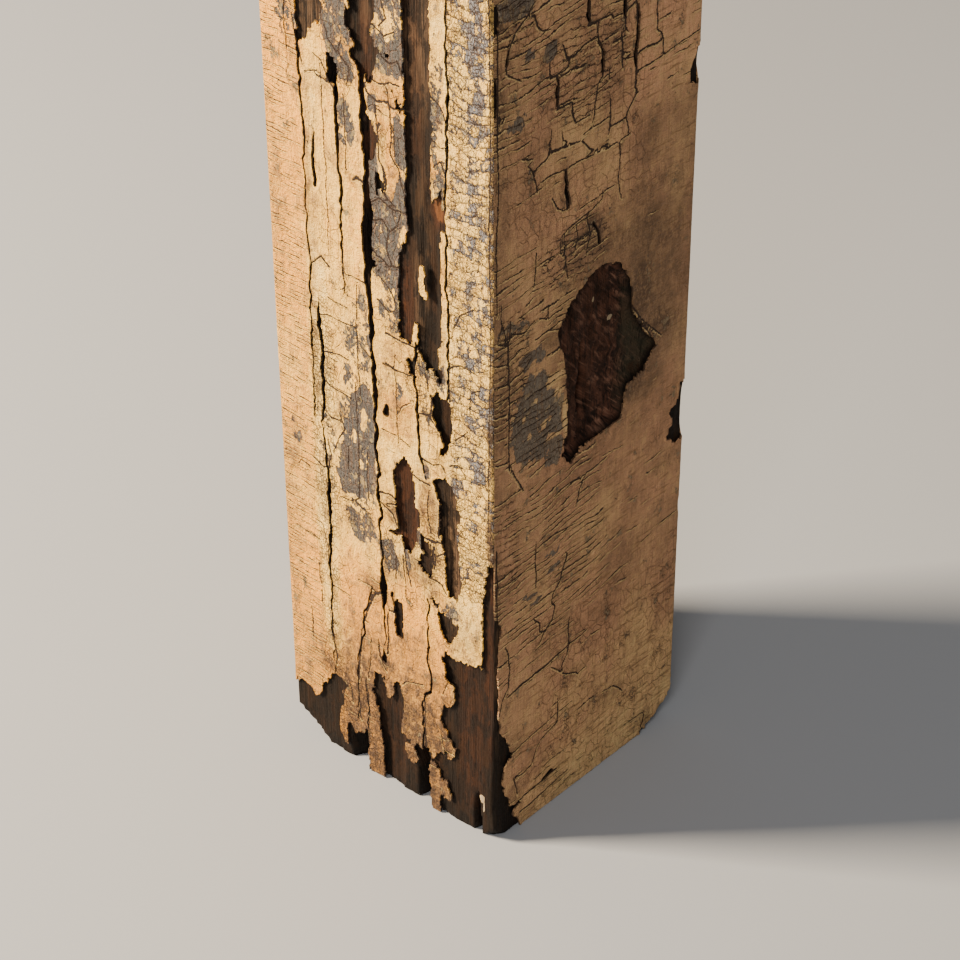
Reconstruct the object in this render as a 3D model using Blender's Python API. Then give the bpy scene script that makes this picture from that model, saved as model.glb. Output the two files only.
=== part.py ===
"""The lower end of an old square porch post: one stick of solid timber.

The post stands on z = 0 with the middle of its foot at the origin, and is cut square at the top. Sun and
rain have opened long drying checks in it, a strip of it has decayed, a rail once fixed to it has left a
scar, and its foot is worn and nibbled away. Units are metres and +Z is up.

A flaw is placed on one of the four faces. Its place across the face is measured from the arris where that
face starts, seen from outside, and its height from the foot. The front and right faces start at the arris
that they share, which is the near one.
"""
import math
import random
from collections import namedtuple

import bmesh
import bpy
from mathutils import Matrix, Vector

# The timber
SECTION = 0.140
LENGTH = 1.000
ARRIS_EASE = 0.0020
ARRIS_STEPS = 2

# Each face: the way across it and the way out of it
FRONT = (Vector((-1, 0, 0)), Vector((0, -1, 0)))
RIGHT = (Vector((0, 1, 0)), Vector((1, 0, 0)))
BACK = (Vector((-1, 0, 0)), Vector((0, 1, 0)))
LEFT = (Vector((0, 1, 0)), Vector((-1, 0, 0)))

# A flaw runs along the grain from low to high, with its greatest width and depth halfway
Flaw = namedtuple("Flaw", "face across low high width depth")

# Drying checks: deep, narrow and V-shaped, pointed at both ends
CHECK_SIDES = 4
CHECK_RINGS = 10
CHECK_SWAY = 0.0010
MAIN_CHECK = Flaw(FRONT, across=0.0755, low=0.268, high=0.412, width=0.0056, depth=0.024)
MAIN_CHECK_TAIL = Flaw(FRONT, across=0.0738, low=0.150, high=0.300, width=0.0028, depth=0.016)
STAR_HOLE = Flaw(FRONT, across=0.0720, low=0.106, high=0.142, width=0.0056, depth=0.012)
SECOND_CHECK = Flaw(FRONT, across=0.0920, low=0.278, high=0.398, width=0.0028, depth=0.014)
SECOND_CHECK_HEAD = Flaw(FRONT, across=0.0945, low=0.382, high=0.408, width=0.0075, depth=0.009)
STRIP_CHECK = Flaw(FRONT, across=0.1148, low=0.205, high=0.412, width=0.0022, depth=0.007)
STRIP_CHECK_TAIL = Flaw(FRONT, across=0.1085, low=0.130, high=0.262, width=0.0026, depth=0.006)
ISLAND_CHECK = Flaw(FRONT, across=0.0475, low=0.208, high=0.280, width=0.0022, depth=0.009)
LOWER_CHECK = Flaw(FRONT, across=0.0430, low=0.066, high=0.134, width=0.0018, depth=0.007)
FLAKED_CHECK = Flaw(FRONT, across=0.0270, low=0.245, high=0.560, width=0.0022, depth=0.007)
RIGHT_CHECKS = (
    Flaw(RIGHT, across=0.0405, low=0.386, high=0.480, width=0.0022, depth=0.008),
    Flaw(RIGHT, across=0.0600, low=0.416, high=0.600, width=0.0026, depth=0.010),
    Flaw(RIGHT, across=0.0685, low=0.374, high=0.440, width=0.0022, depth=0.008),
    Flaw(RIGHT, across=0.0840, low=0.392, high=0.520, width=0.0028, depth=0.010),
    Flaw(RIGHT, across=0.0930, low=0.374, high=0.470, width=0.0024, depth=0.009),
    Flaw(RIGHT, across=0.0760, low=0.352, high=0.392, width=0.0018, depth=0.006),
)
HIDDEN_CHECKS = (
    Flaw(BACK, across=0.0520, low=0.180, high=0.640, width=0.0034, depth=0.018),
    Flaw(BACK, across=0.0860, low=0.500, high=0.880, width=0.0026, depth=0.014),
    Flaw(LEFT, across=0.0640, low=0.090, high=0.470, width=0.0030, depth=0.016),
    Flaw(LEFT, across=0.0910, low=0.420, high=0.820, width=0.0028, depth=0.014),
)
UPPER_CHECKS = (
    Flaw(FRONT, across=0.0820, low=0.520, high=0.860, width=0.0032, depth=0.018),
    Flaw(RIGHT, across=0.0520, low=0.600, high=0.900, width=0.0026, depth=0.012),
)

# Hollows: soft and shallow, where the wood has decayed or worn away
HOLLOW_SIDES = 10
HOLLOW_RINGS = 8
HOLLOW_SWAY = 0.0
DECAYED_BAND = Flaw(FRONT, across=0.0445, low=0.325, high=0.640, width=0.0170, depth=0.006)
DECAYED_BAND_TAIL = Flaw(FRONT, across=0.0390, low=0.255, high=0.362, width=0.0130, depth=0.003)
BARE_HEAD = Flaw(FRONT, across=0.0760, low=0.392, high=0.470, width=0.0200, depth=0.006)
CRESCENT = Flaw(FRONT, across=0.0310, low=0.216, high=0.256, width=0.0130, depth=0.003)
BARE_KNEE = Flaw(FRONT, across=0.0560, low=0.148, high=0.214, width=0.0120, depth=0.0025)
BARE_ELBOW = Flaw(FRONT, across=0.0270, low=0.134, high=0.214, width=0.0110, depth=0.0030)
FOOT_PATCH = Flaw(FRONT, across=0.0715, low=-0.020, high=0.070, width=0.0200, depth=0.003)
RAIL_NAIL_HOLE = Flaw(RIGHT, across=0.0665, low=0.222, high=0.248, width=0.0075, depth=0.016)
GOUGE = Flaw(RIGHT, across=0.0470, low=0.336, high=0.362, width=0.0042, depth=0.004)

# The foot: gaps where rotten wood has dropped out between standing slivers, and bitten corners
FOOT_GAP = Flaw(FRONT, across=0.0475, low=-0.030, high=0.041, width=0.0105, depth=0.018)
FOOT_GAP_LEFT = Flaw(FRONT, across=0.0925, low=-0.024, high=0.033, width=0.0150, depth=0.012)
FOOT_SLOT = Flaw(FRONT, across=0.0120, low=-0.020, high=0.026, width=0.0060, depth=0.010)
FOOT_CRUMBLE = Flaw(RIGHT, across=SECTION - 0.0160, low=-0.010, high=0.0095, width=0.026, depth=0.007)

# Chips knocked out of an arris: the corner of the section, by the signs of x and y, and the sizes
Chip = namedtuple("Chip", "corner low high reach")
CHIP_SIDES = 8
CHIP_RINGS = 6
NEAR_ARRIS = (1, -1)
RIGHT_ARRIS = (1, 1)
LEFT_ARRIS = (-1, -1)
HIDDEN_ARRIS = (-1, 1)
CHIPS = (
    Chip(NEAR_ARRIS, low=-0.010, high=0.086, reach=0.0050),
    Chip(NEAR_ARRIS, low=0.104, high=0.146, reach=0.0042),
    Chip(NEAR_ARRIS, low=0.402, high=0.421, reach=0.0034),
    Chip(NEAR_ARRIS, low=0.438, high=0.456, reach=0.0050),
    Chip(RIGHT_ARRIS, low=0.174, high=0.211, reach=0.0100),
    Chip(RIGHT_ARRIS, low=0.368, high=0.390, reach=0.0080),
    Chip(RIGHT_ARRIS, low=0.126, high=0.146, reach=0.0050),
    Chip(LEFT_ARRIS, low=0.290, high=0.322, reach=0.0040),
    Chip(HIDDEN_ARRIS, low=0.560, high=0.600, reach=0.0060),
    Chip(NEAR_ARRIS, low=0.700, high=0.736, reach=0.0050),
)

# The foot's corners are worn off on a slant: how far along the foot and how high the slant runs
WornCorner = namedtuple("WornCorner", "corner run rise")
WORN_CORNERS = (
    WornCorner(NEAR_ARRIS, run=0.0100, rise=0.012),
    WornCorner(RIGHT_ARRIS, run=0.0250, rise=0.015),
    WornCorner(LEFT_ARRIS, run=0.0290, rise=0.016),
    WornCorner(HIDDEN_ARRIS, run=0.0180, rise=0.012),
)

# The rim of the foot is nibbled all round by rounded bites
RIM_SEED = 7
RIM_SPACING = 0.019
RIM_REACH = (0.0016, 0.0040)
RIM_RISE = (0.0016, 0.0045)
RIM_STRETCH = 1.9

# The scar that a lost rail left on the right face: across and height of its outline, anticlockwise
SCAR_OUTLINE = (
    (0.050, 0.290), (0.045, 0.284), (0.034, 0.277), (0.046, 0.266), (0.048, 0.250), (0.050, 0.230),
    (0.046, 0.212), (0.052, 0.203), (0.060, 0.208), (0.076, 0.209), (0.090, 0.211), (0.094, 0.227),
    (0.104, 0.229), (0.116, 0.241), (0.106, 0.251), (0.096, 0.268), (0.094, 0.286), (0.086, 0.297),
    (0.075, 0.301), (0.064, 0.300),
)
SCAR_DEPTH = 0.0050
SCAR_SLOPE = 0.0022

PAINTED_WOOD = (0.55, 0.43, 0.29, 1.0)
PAINTED_WOOD_ROUGHNESS = 0.62


def clear_scene():
    """Remove everything that the file opened with."""
    for thing in list(bpy.data.objects):
        bpy.data.objects.remove(thing)


def new_collection(name):
    """A collection of the scene's own."""
    collection = bpy.data.collections.new(name)
    bpy.context.scene.collection.children.link(collection)
    return collection


def face_frame(face):
    """The matrix from a face's own axes, across, outwards and up, to the post's."""
    across, outward = face
    start = (outward - across) * (SECTION / 2)
    turn = Matrix((across, outward, Vector((0, 0, 1)))).transposed()
    return Matrix.Translation(start) @ turn.to_4x4()


def add_object(name, mesh_data, collection):
    """An object that carries the mesh, in the collection."""
    thing = bpy.data.objects.new(name, mesh_data)
    collection.objects.link(thing)
    return thing


def add_cutter(name, shape, collection):
    """A closed shape that the Boolean takes away, kept out of the part itself."""
    bmesh.ops.recalc_face_normals(shape, faces=shape.faces)
    mesh_data = bpy.data.meshes.new(name)
    shape.to_mesh(mesh_data)
    shape.free()
    cutter = add_object(name, mesh_data, collection)
    cutter.display_type = "WIRE"
    cutter.hide_render = True
    return cutter


def cut_flaw(name, flaw, sides, rings, sway, collection):
    """A long spindle along the grain: four sides give a V-shaped check, more give a soft hollow."""
    shape = bmesh.new()
    bmesh.ops.create_uvsphere(shape, u_segments=sides, v_segments=rings, radius=1.0)
    middle = (flaw.low + flaw.high) / 2
    for vert in shape.verts:
        along = vert.co.z
        vert.co.x = vert.co.x * flaw.width / 2 + sway * math.sin(math.pi * 1.5 * along)
        vert.co.y = vert.co.y * flaw.depth
        vert.co.z = middle + along * (flaw.high - flaw.low) / 2
    place = face_frame(flaw.face) @ Matrix.Translation((flaw.across, 0, 0))
    bmesh.ops.transform(shape, matrix=place, verts=shape.verts)
    return add_cutter(name, shape, collection)


def cut_chip(name, chip, collection):
    """A rounded bite out of an arris."""
    shape = bmesh.new()
    bmesh.ops.create_uvsphere(shape, u_segments=CHIP_SIDES, v_segments=CHIP_RINGS, radius=1.0)
    size = Vector((chip.reach, chip.reach, (chip.high - chip.low) / 2))
    bmesh.ops.scale(shape, vec=size, verts=shape.verts)
    spot = (chip.corner[0] * SECTION / 2, chip.corner[1] * SECTION / 2, (chip.low + chip.high) / 2)
    bmesh.ops.translate(shape, vec=spot, verts=shape.verts)
    return add_cutter(name, shape, collection)


def cut_corner(name, worn, collection):
    """The slant that takes off one corner of the foot: one side of an eight-faced diamond."""
    shape = bmesh.new()
    bmesh.ops.create_uvsphere(shape, u_segments=4, v_segments=2, radius=1.0)
    bmesh.ops.scale(shape, vec=(worn.run, worn.run, worn.rise), verts=shape.verts)
    spot = (worn.corner[0] * SECTION / 2, worn.corner[1] * SECTION / 2, 0)
    bmesh.ops.translate(shape, vec=spot, verts=shape.verts)
    return add_cutter(name, shape, collection)


def cut_rim(collection):
    """Bites along the bottom edge of each face, of uneven size and spacing."""
    chance = random.Random(RIM_SEED)
    count = max(2, round(SECTION / RIM_SPACING))
    for number, face in enumerate((FRONT, RIGHT, BACK, LEFT)):
        for step in range(count):
            across = SECTION * (step + chance.uniform(0.25, 0.75)) / count
            reach = chance.uniform(*RIM_REACH)
            rise = chance.uniform(*RIM_RISE)
            shape = bmesh.new()
            bmesh.ops.create_icosphere(shape, subdivisions=1, radius=1.0)
            size = Vector((reach * RIM_STRETCH, reach, rise))
            bmesh.ops.scale(shape, vec=size, verts=shape.verts)
            place = face_frame(face) @ Matrix.Translation((across, 0, 0))
            bmesh.ops.transform(shape, matrix=place, verts=shape.verts)
            add_cutter(f"rim_bite_{number}_{step}", shape, collection)


def cut_scar(collection):
    """The shallow scar with its sloping edge, from a filled curve on the right face."""
    curve = bpy.data.curves.new("rail_scar", "CURVE")
    curve.dimensions = "2D"
    curve.fill_mode = "BOTH"
    curve.extrude = SCAR_DEPTH - SCAR_SLOPE
    curve.bevel_depth = SCAR_SLOPE
    curve.bevel_resolution = 0
    curve.offset = -SCAR_SLOPE
    line = curve.splines.new("POLY")
    line.points.add(len(SCAR_OUTLINE) - 1)
    for point, (across, height) in zip(line.points, SCAR_OUTLINE):
        point.co = (across, height, 0, 1)
    line.use_cyclic_u = True
    drawing = add_object("rail_scar_outline", curve, collection)
    solid = bpy.data.meshes.new_from_object(drawing)
    bpy.data.objects.remove(drawing)
    shape = bmesh.new()
    shape.from_mesh(solid)
    bmesh.ops.remove_doubles(shape, verts=shape.verts, dist=0.00001)
    upright = Matrix.Rotation(math.pi / 2, 4, "X")
    bmesh.ops.transform(shape, matrix=face_frame(RIGHT) @ upright, verts=shape.verts)
    return add_cutter("rail_scar", shape, collection)


def painted_wood():
    """Old cream paint on timber."""
    material = bpy.data.materials.new("painted_wood")
    material.use_nodes = True
    shader = material.node_tree.nodes["Principled BSDF"]
    shader.inputs["Base Color"].default_value = PAINTED_WOOD
    shader.inputs["Roughness"].default_value = PAINTED_WOOD_ROUGHNESS
    shader.inputs["Metallic"].default_value = 0.0
    return material


def square_timber(collection):
    """The whole stick before any wear: a box with eased arrises and sharp ends."""
    shape = bmesh.new()
    bmesh.ops.create_cube(shape, size=1.0)
    bmesh.ops.scale(shape, vec=(SECTION, SECTION, LENGTH), verts=shape.verts)
    bmesh.ops.translate(shape, vec=(0, 0, LENGTH / 2), verts=shape.verts)
    arrises = [edge for edge in shape.edges if abs(edge.verts[0].co.z - edge.verts[1].co.z) > LENGTH / 2]
    bmesh.ops.bevel(
        shape, geom=arrises, offset=ARRIS_EASE, offset_type="OFFSET", segments=ARRIS_STEPS,
        profile=0.5, affect="EDGES",
    )
    mesh_data = bpy.data.meshes.new("post")
    shape.to_mesh(mesh_data)
    shape.free()
    mesh_data.materials.append(painted_wood())
    return add_object("post", mesh_data, collection)


def main():
    """Build the post and cut its flaws."""
    clear_scene()
    part = new_collection("porch_post")
    cutters = new_collection("cutters")

    checks = (
        MAIN_CHECK, MAIN_CHECK_TAIL, STAR_HOLE, SECOND_CHECK, SECOND_CHECK_HEAD, STRIP_CHECK,
        STRIP_CHECK_TAIL, ISLAND_CHECK, LOWER_CHECK, FLAKED_CHECK,
    ) + RIGHT_CHECKS + HIDDEN_CHECKS + UPPER_CHECKS
    for number, flaw in enumerate(checks):
        cut_flaw(f"check_{number}", flaw, CHECK_SIDES, CHECK_RINGS, CHECK_SWAY, cutters)

    hollows = (
        DECAYED_BAND, DECAYED_BAND_TAIL, BARE_HEAD, CRESCENT, BARE_KNEE, BARE_ELBOW, FOOT_PATCH,
        RAIL_NAIL_HOLE, GOUGE, FOOT_GAP, FOOT_GAP_LEFT, FOOT_SLOT, FOOT_CRUMBLE,
    )
    for number, flaw in enumerate(hollows):
        cut_flaw(f"hollow_{number}", flaw, HOLLOW_SIDES, HOLLOW_RINGS, HOLLOW_SWAY, cutters)

    for number, chip in enumerate(CHIPS):
        cut_chip(f"chip_{number}", chip, cutters)
    for number, worn in enumerate(WORN_CORNERS):
        cut_corner(f"worn_corner_{number}", worn, cutters)
    cut_rim(cutters)
    cut_scar(cutters)

    post = square_timber(part)
    wear = post.modifiers.new("wear", "BOOLEAN")
    wear.operation = "DIFFERENCE"
    wear.solver = "EXACT"
    wear.operand_type = "COLLECTION"
    wear.collection = cutters


main()
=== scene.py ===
"""The looks of a weathered square porch post: bare timber under a torn coat of cream paint.

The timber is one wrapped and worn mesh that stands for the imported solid. Each of its four faces carries
its own coat of paint: a thin solid skin, torn open where the paint is lost and lifting at its torn edges.
The front face's coat is two such skins, which meet along one long crack.
Maps of the faces are in millimetres: across from the arris where the face starts, and up from the foot.
"""
import math

import bmesh
import bpy
import numpy as np
from mathutils import Matrix, Vector


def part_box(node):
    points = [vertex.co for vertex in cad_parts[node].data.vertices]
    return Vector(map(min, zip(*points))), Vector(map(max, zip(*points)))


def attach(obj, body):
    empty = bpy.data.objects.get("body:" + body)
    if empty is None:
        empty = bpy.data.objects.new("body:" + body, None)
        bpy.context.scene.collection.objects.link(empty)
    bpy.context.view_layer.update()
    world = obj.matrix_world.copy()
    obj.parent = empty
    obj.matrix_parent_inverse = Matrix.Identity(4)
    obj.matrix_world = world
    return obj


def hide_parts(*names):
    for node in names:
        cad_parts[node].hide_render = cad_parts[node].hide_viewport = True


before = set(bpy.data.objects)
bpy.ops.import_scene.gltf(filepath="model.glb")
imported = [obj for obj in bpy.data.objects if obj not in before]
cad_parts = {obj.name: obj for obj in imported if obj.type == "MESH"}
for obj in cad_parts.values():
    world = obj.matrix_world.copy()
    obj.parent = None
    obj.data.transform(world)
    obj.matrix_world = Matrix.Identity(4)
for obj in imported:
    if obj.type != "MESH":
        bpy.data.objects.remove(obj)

bl_info = {
    "name": "Weathered porch post",
    "version": (1, 0, 0),
    "blender": (4, 5, 0),
    "location": "3D View > Sidebar > Porch post",
    "description": "Dresses a square porch post in flaking paint over checked timber",
    "category": "Add Mesh",
}

MM = 0.001
NODE = "post"
BODY = "root"

# The post, from the frame
LOW_CORNER, HIGH_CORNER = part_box(NODE)
SECTION = round((HIGH_CORNER.x - LOW_CORNER.x) / MM, 3)
LENGTH = round((HIGH_CORNER.z - LOW_CORNER.z) / MM, 3)
ARRIS_RADIUS = 2.6
SHOWN_HEIGHT = 462.0

# Each face: the way across it and the way out of it
FACES = {
    "front": (Vector((-1, 0, 0)), Vector((0, -1, 0))),
    "right": (Vector((0, 1, 0)), Vector((1, 0, 0))),
    "back": (Vector((-1, 0, 0)), Vector((0, 1, 0))),
    "left": (Vector((0, 1, 0)), Vector((-1, 0, 0))),
}

# The faces in turn round the post, seen from above against the clock, and which way each map runs
ROUND = (("front", -1), ("right", 1), ("back", 1), ("left", -1))

# Drying checks in the timber: across, low, high, width and depth
CHECKS = {
    "front": (
        (75.5, 296, 340, 6.0, 14), (75.5, 262, 416, 3.0, 2.5), (73.8, 150, 300, 2.6, 12),
        (72.0, 106, 142, 5.6, 12), (92.0, 278, 400, 2.6, 14), (94.5, 380, 409, 7.0, 9),
        (114.6, 205, 412, 2.4, 7), (108.5, 130, 262, 2.6, 6), (47.5, 208, 280, 2.4, 9),
        (43.0, 66, 134, 2.0, 7), (27.0, 245, 560, 2.4, 7), (82.0, 520, 860, 3.2, 18),
        (47.5, -30, 41, 10.0, 18), (92.5, -24, 32, 14.0, 12), (12.0, -20, 26, 5.0, 10),
    ),
    "right": (
        (66.0, 236, 262, 3.0, 9), (71.0, 220, 238, 2.4, 7), (40.5, 386, 480, 2.2, 8),
        (60.0, 416, 600, 2.6, 10), (68.5, 374, 440, 2.2, 8), (84.0, 392, 520, 2.8, 10),
        (93.0, 374, 470, 2.4, 9), (76.0, 352, 392, 1.8, 6), (66.5, 220, 250, 6.5, 16),
        (52.0, 600, 900, 2.6, 12),
    ),
    "back": ((52.0, 180, 640, 3.4, 18), (86.0, 500, 880, 2.6, 14)),
    "left": ((64.0, 90, 470, 3.0, 16), (91.0, 420, 820, 2.8, 14)),
}
CHECK_WANDER = 1.1

# Soft hollows in the timber: across, low, high, width and depth
HOLLOWS = {
    "front": (
        (44.5, 325, 640, 17.0, 1.8), (39.0, 255, 362, 13.0, 3.0), (76.0, 392, 470, 20.0, 2.0),
        (31.0, 216, 256, 13.0, 3.0), (56.0, 148, 214, 13.0, 2.0), (27.5, 134, 214, 12.0, 2.6),
        (71.5, -20, 70, 20.0, 2.4),
    ),
    "right": ((47.0, 336, 362, 4.2, 4.0),),
    "back": (),
    "left": (),
}

# Chips out of the four arrises, by the arris's signs of x and y: low, high and reach
CHIPS = {
    (1, -1): ((-10, 86, 3.4), (104, 146, 2.6), (402, 421, 1.5), (438, 456, 2.0), (700, 736, 5.0)),
    (1, 1): ((174, 211, 2.6), (368, 390, 2.2), (126, 146, 1.6)),
    (-1, -1): ((296, 318, 1.2), (640, 690, 3.6)),
    (-1, 1): ((560, 600, 6.0),),
}

# The foot's corners are worn off on a slant: run along the foot and rise
WORN_CORNERS = {(1, -1): (9.5, 12.0), (1, 1): (25.0, 15.0), (-1, -1): (29.0, 16.0), (-1, 1): (18.0, 12.0)}

# The scar of the lost rail on the right face
SCAR = (
    (50, 290), (46, 285), (42, 277), (47, 266), (48, 250), (50, 230), (46, 212), (52, 203), (60, 208),
    (76, 209), (90, 211), (94, 227), (104, 229), (116, 241), (106, 251), (96, 268), (94, 286), (86, 297),
    (75, 301), (64, 300),
)
SCAR_DEPTH = 4.6
SCAR_SLOPE = 2.4

# Where the paint is gone from the front face
FRONT_LOST = (
    # the near foot, with the strip that runs up the arris
    ((-9, -9), (-9, 171), (3.6, 170), (6, 158), (8, 140), (8, 118), (9, 107), (20, 105), (31.6, 106.5),
     (32.6, 101), (30.6, 91), (25.6, 87), (28, 71), (32.6, 72.5), (35.6, 65), (35.6, 59), (32.6, 54),
     (26, 48), (26.6, 42), (30.6, 38), (32.6, 43), (40.6, 34), (44, 37), (52, 37.5), (56, 36), (62, 38),
     (70, 20), (76, -9)),
    # the forked patch in the middle of the foot
    ((62.6, 36), (61, 50), (60.6, 62), (62, 68), (66.5, 68), (67.5, 60), (70, 52), (72.5, 62), (74, 67),
     (80, 66), (82.6, 56), (80.6, 50), (78.6, 40), (76.6, 31), (75.6, 12), (76, -9), (56, -9), (58, 30)),
    ((85, -9), (86, 10), (86, 22), (88, 29), (90, 22), (95, 20), (99, 25), (101, 12), (100, -9)),
    # the far foot
    ((149, 32), (140, 31.5), (132, 34), (125.6, 33.5), (122, 29.5), (119.6, 30), (118, 40), (112.6, 46),
     (110.6, 51), (105.6, 50.5), (97.6, 50), (103.6, 42), (103, 36), (106.6, 30), (106.6, 18), (101.6, 7),
     (100, -9), (149, -9)),
    ((59, 98), (59, 121), (65, 121), (65, 100)),
    ((40, 135), (37, 127), (35.4, 120), (33, 114), (28, 112), (24.4, 118), (21.6, 125.6), (29, 126.6),
     (34, 130)),
    # the warm knee-shaped patch and the dark crescent beside it
    ((63.6, 201), (55.6, 208.5), (51.6, 203), (50, 197), (49.6, 184), (46, 181), (48.6, 170), (49.6, 160),
     (50.6, 154), (56.6, 154), (59.6, 160), (68.6, 160), (61, 166), (62.6, 180), (64, 197)),
    ((38.6, 203), (30.6, 208.5), (24.6, 203), (22, 192), (23, 184), (22, 170), (21.6, 150), (23, 141),
     (29.6, 140), (30.6, 152), (31.6, 166), (34.6, 180), (33.6, 192)),
    ((39, 147), (40, 157), (47, 157), (48, 150), (45, 147)),
    ((39, 251), (33, 252), (26, 249), (24.6, 238), (27, 228), (31, 220), (34, 219), (32, 226), (33, 233),
     (37, 238), (38, 245)),
    # the decayed band, out of the top of what shows
    ((36.5, 470), (36, 400), (36.5, 348), (30, 360), (29, 342), (32, 330), (31, 300), (33, 266),
     (40, 263), (45, 268), (46, 290), (50, 273), (57, 272), (58, 300), (56, 316), (51, 332), (52, 400),
     (53, 500), (49, 580), (44, 640), (39, 580), (37, 520)),
    ((70, 396), (69, 405), (66, 412), (71, 420), (67, 430), (68, 445), (70, 470), (78, 500), (84, 470),
     (83, 430), (86, 420), (81, 412), (79, 398)),
    ((76, 380), (71, 378), (67, 372), (69, 364), (72, 358), (76, 360)),
    ((70, 356), (66, 352), (64, 346), (69, 342)), ((91, 389), (91, 398), (93, 402), (98, 400), (97, 388)),
    ((119, 446), (116, 420), (115, 405), (112, 401), (110, 408), (105, 413), (101, 414), (99, 424),
     (100, 440)),
    ((46, 158), (40, 156), (40, 166), (46, 168)),
    # slivers between the loose flakes of the upper half
    ((57.5, 398), (52.5, 387), (54, 386.5), (59, 396)), ((70, 415), (64, 410.6), (59, 412), (64, 413.5)),
    ((76, 314), (68, 304), (69.5, 302), (75, 308)), ((86, 412), (79, 399), (80, 408)),
    ((53, 266), (49, 262), (50, 257), (54, 261)), ((35, 268), (31, 265), (32, 258), (36, 262)),
)

# Scraps of paint that still stand inside those bare places
FRONT_SCRAPS = (
    ((36, -9), (36, 8), (36, 24), (38, 30), (42, 33), (44, 26), (43, 12), (42, -9)),
    ((28, 12), (31, 20), (33, 24), (36, 22), (36, 14), (33, 12)),
    ((51, 26), (53, 34), (59, 35), (60, 28), (57, 22), (54, 23)),
    ((40, 300), (42, 318), (45, 316), (44, 300)),
)

# Cracks right through the paint: across, height and half width at each point
FRONT_CRACKS = (
    ((73, 88, 0.2), (72, 108, 0.5), (72, 124, 2.6), (72.5, 140, 0.6), (73, 165, 0.8), (74, 215, 1.0),
     (75, 275, 1.6), (76, 300, 2.3), (75.5, 322, 3.4), (75, 345, 1.8), (77, 400, 1.5)),
    ((92, 282, 0.3), (92, 330, 0.8), (93, 388, 1.3)),
    ((114.5, 205, 0.3), (114, 260, 0.6), (114, 340, 0.5), (115.5, 406, 0.9)),
    ((107, 50, 0.3), (109, 100, 0.6), (107, 150, 1.0), (107.5, 168, 1.2), (110, 200, 0.5),
     (108, 225, 1.3), (108, 260, 1.3), (109, 272, 0.3)),
    ((108, 333, 1.2), (108, 346, 1.2), (108.5, 362, 0.3)),
    ((43, 203, 0.5), (46, 215, 0.9), (47.5, 240, 1.0), (48, 275, 0.8)),
    ((42.5, 132, 0.5), (42.5, 76, 0.7), (46.5, 72, 0.5), (46.5, 35, 0.6)),
    ((27, 455, 0.6), (26, 400, 0.7), (28, 350, 0.6), (27, 300, 0.7), (27.5, 250, 0.5)),
    ((79, 122, 0.3), (84, 105, 0.5), (88, 85, 0.6), (92, 65, 0.5), (93, 30, 0.4)),
    ((86, 60, 0.3), (86, 28, 0.5)), ((73, 86, 0.4), (73, 79, 2.0)), ((67, 232, 1.6), (67, 228, 2.2)),
    ((66, 124, 1.1), (66, 122, 1.1)), ((46, 256, 0.4), (68, 255, 0.4)), ((46, 273, 0.4), (66, 274, 0.4)),
    ((83, 228, 0.3), (104, 228.5, 0.4)), ((122, 380, 0.2), (123, 420, 0.4), (123, 470, 0.3)),
    ((78, 500, 0.3), (79, 600, 0.6), (76, 760, 0.9), (78, 900, 0.5), (77, 1000, 0.3)),
)

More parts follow.
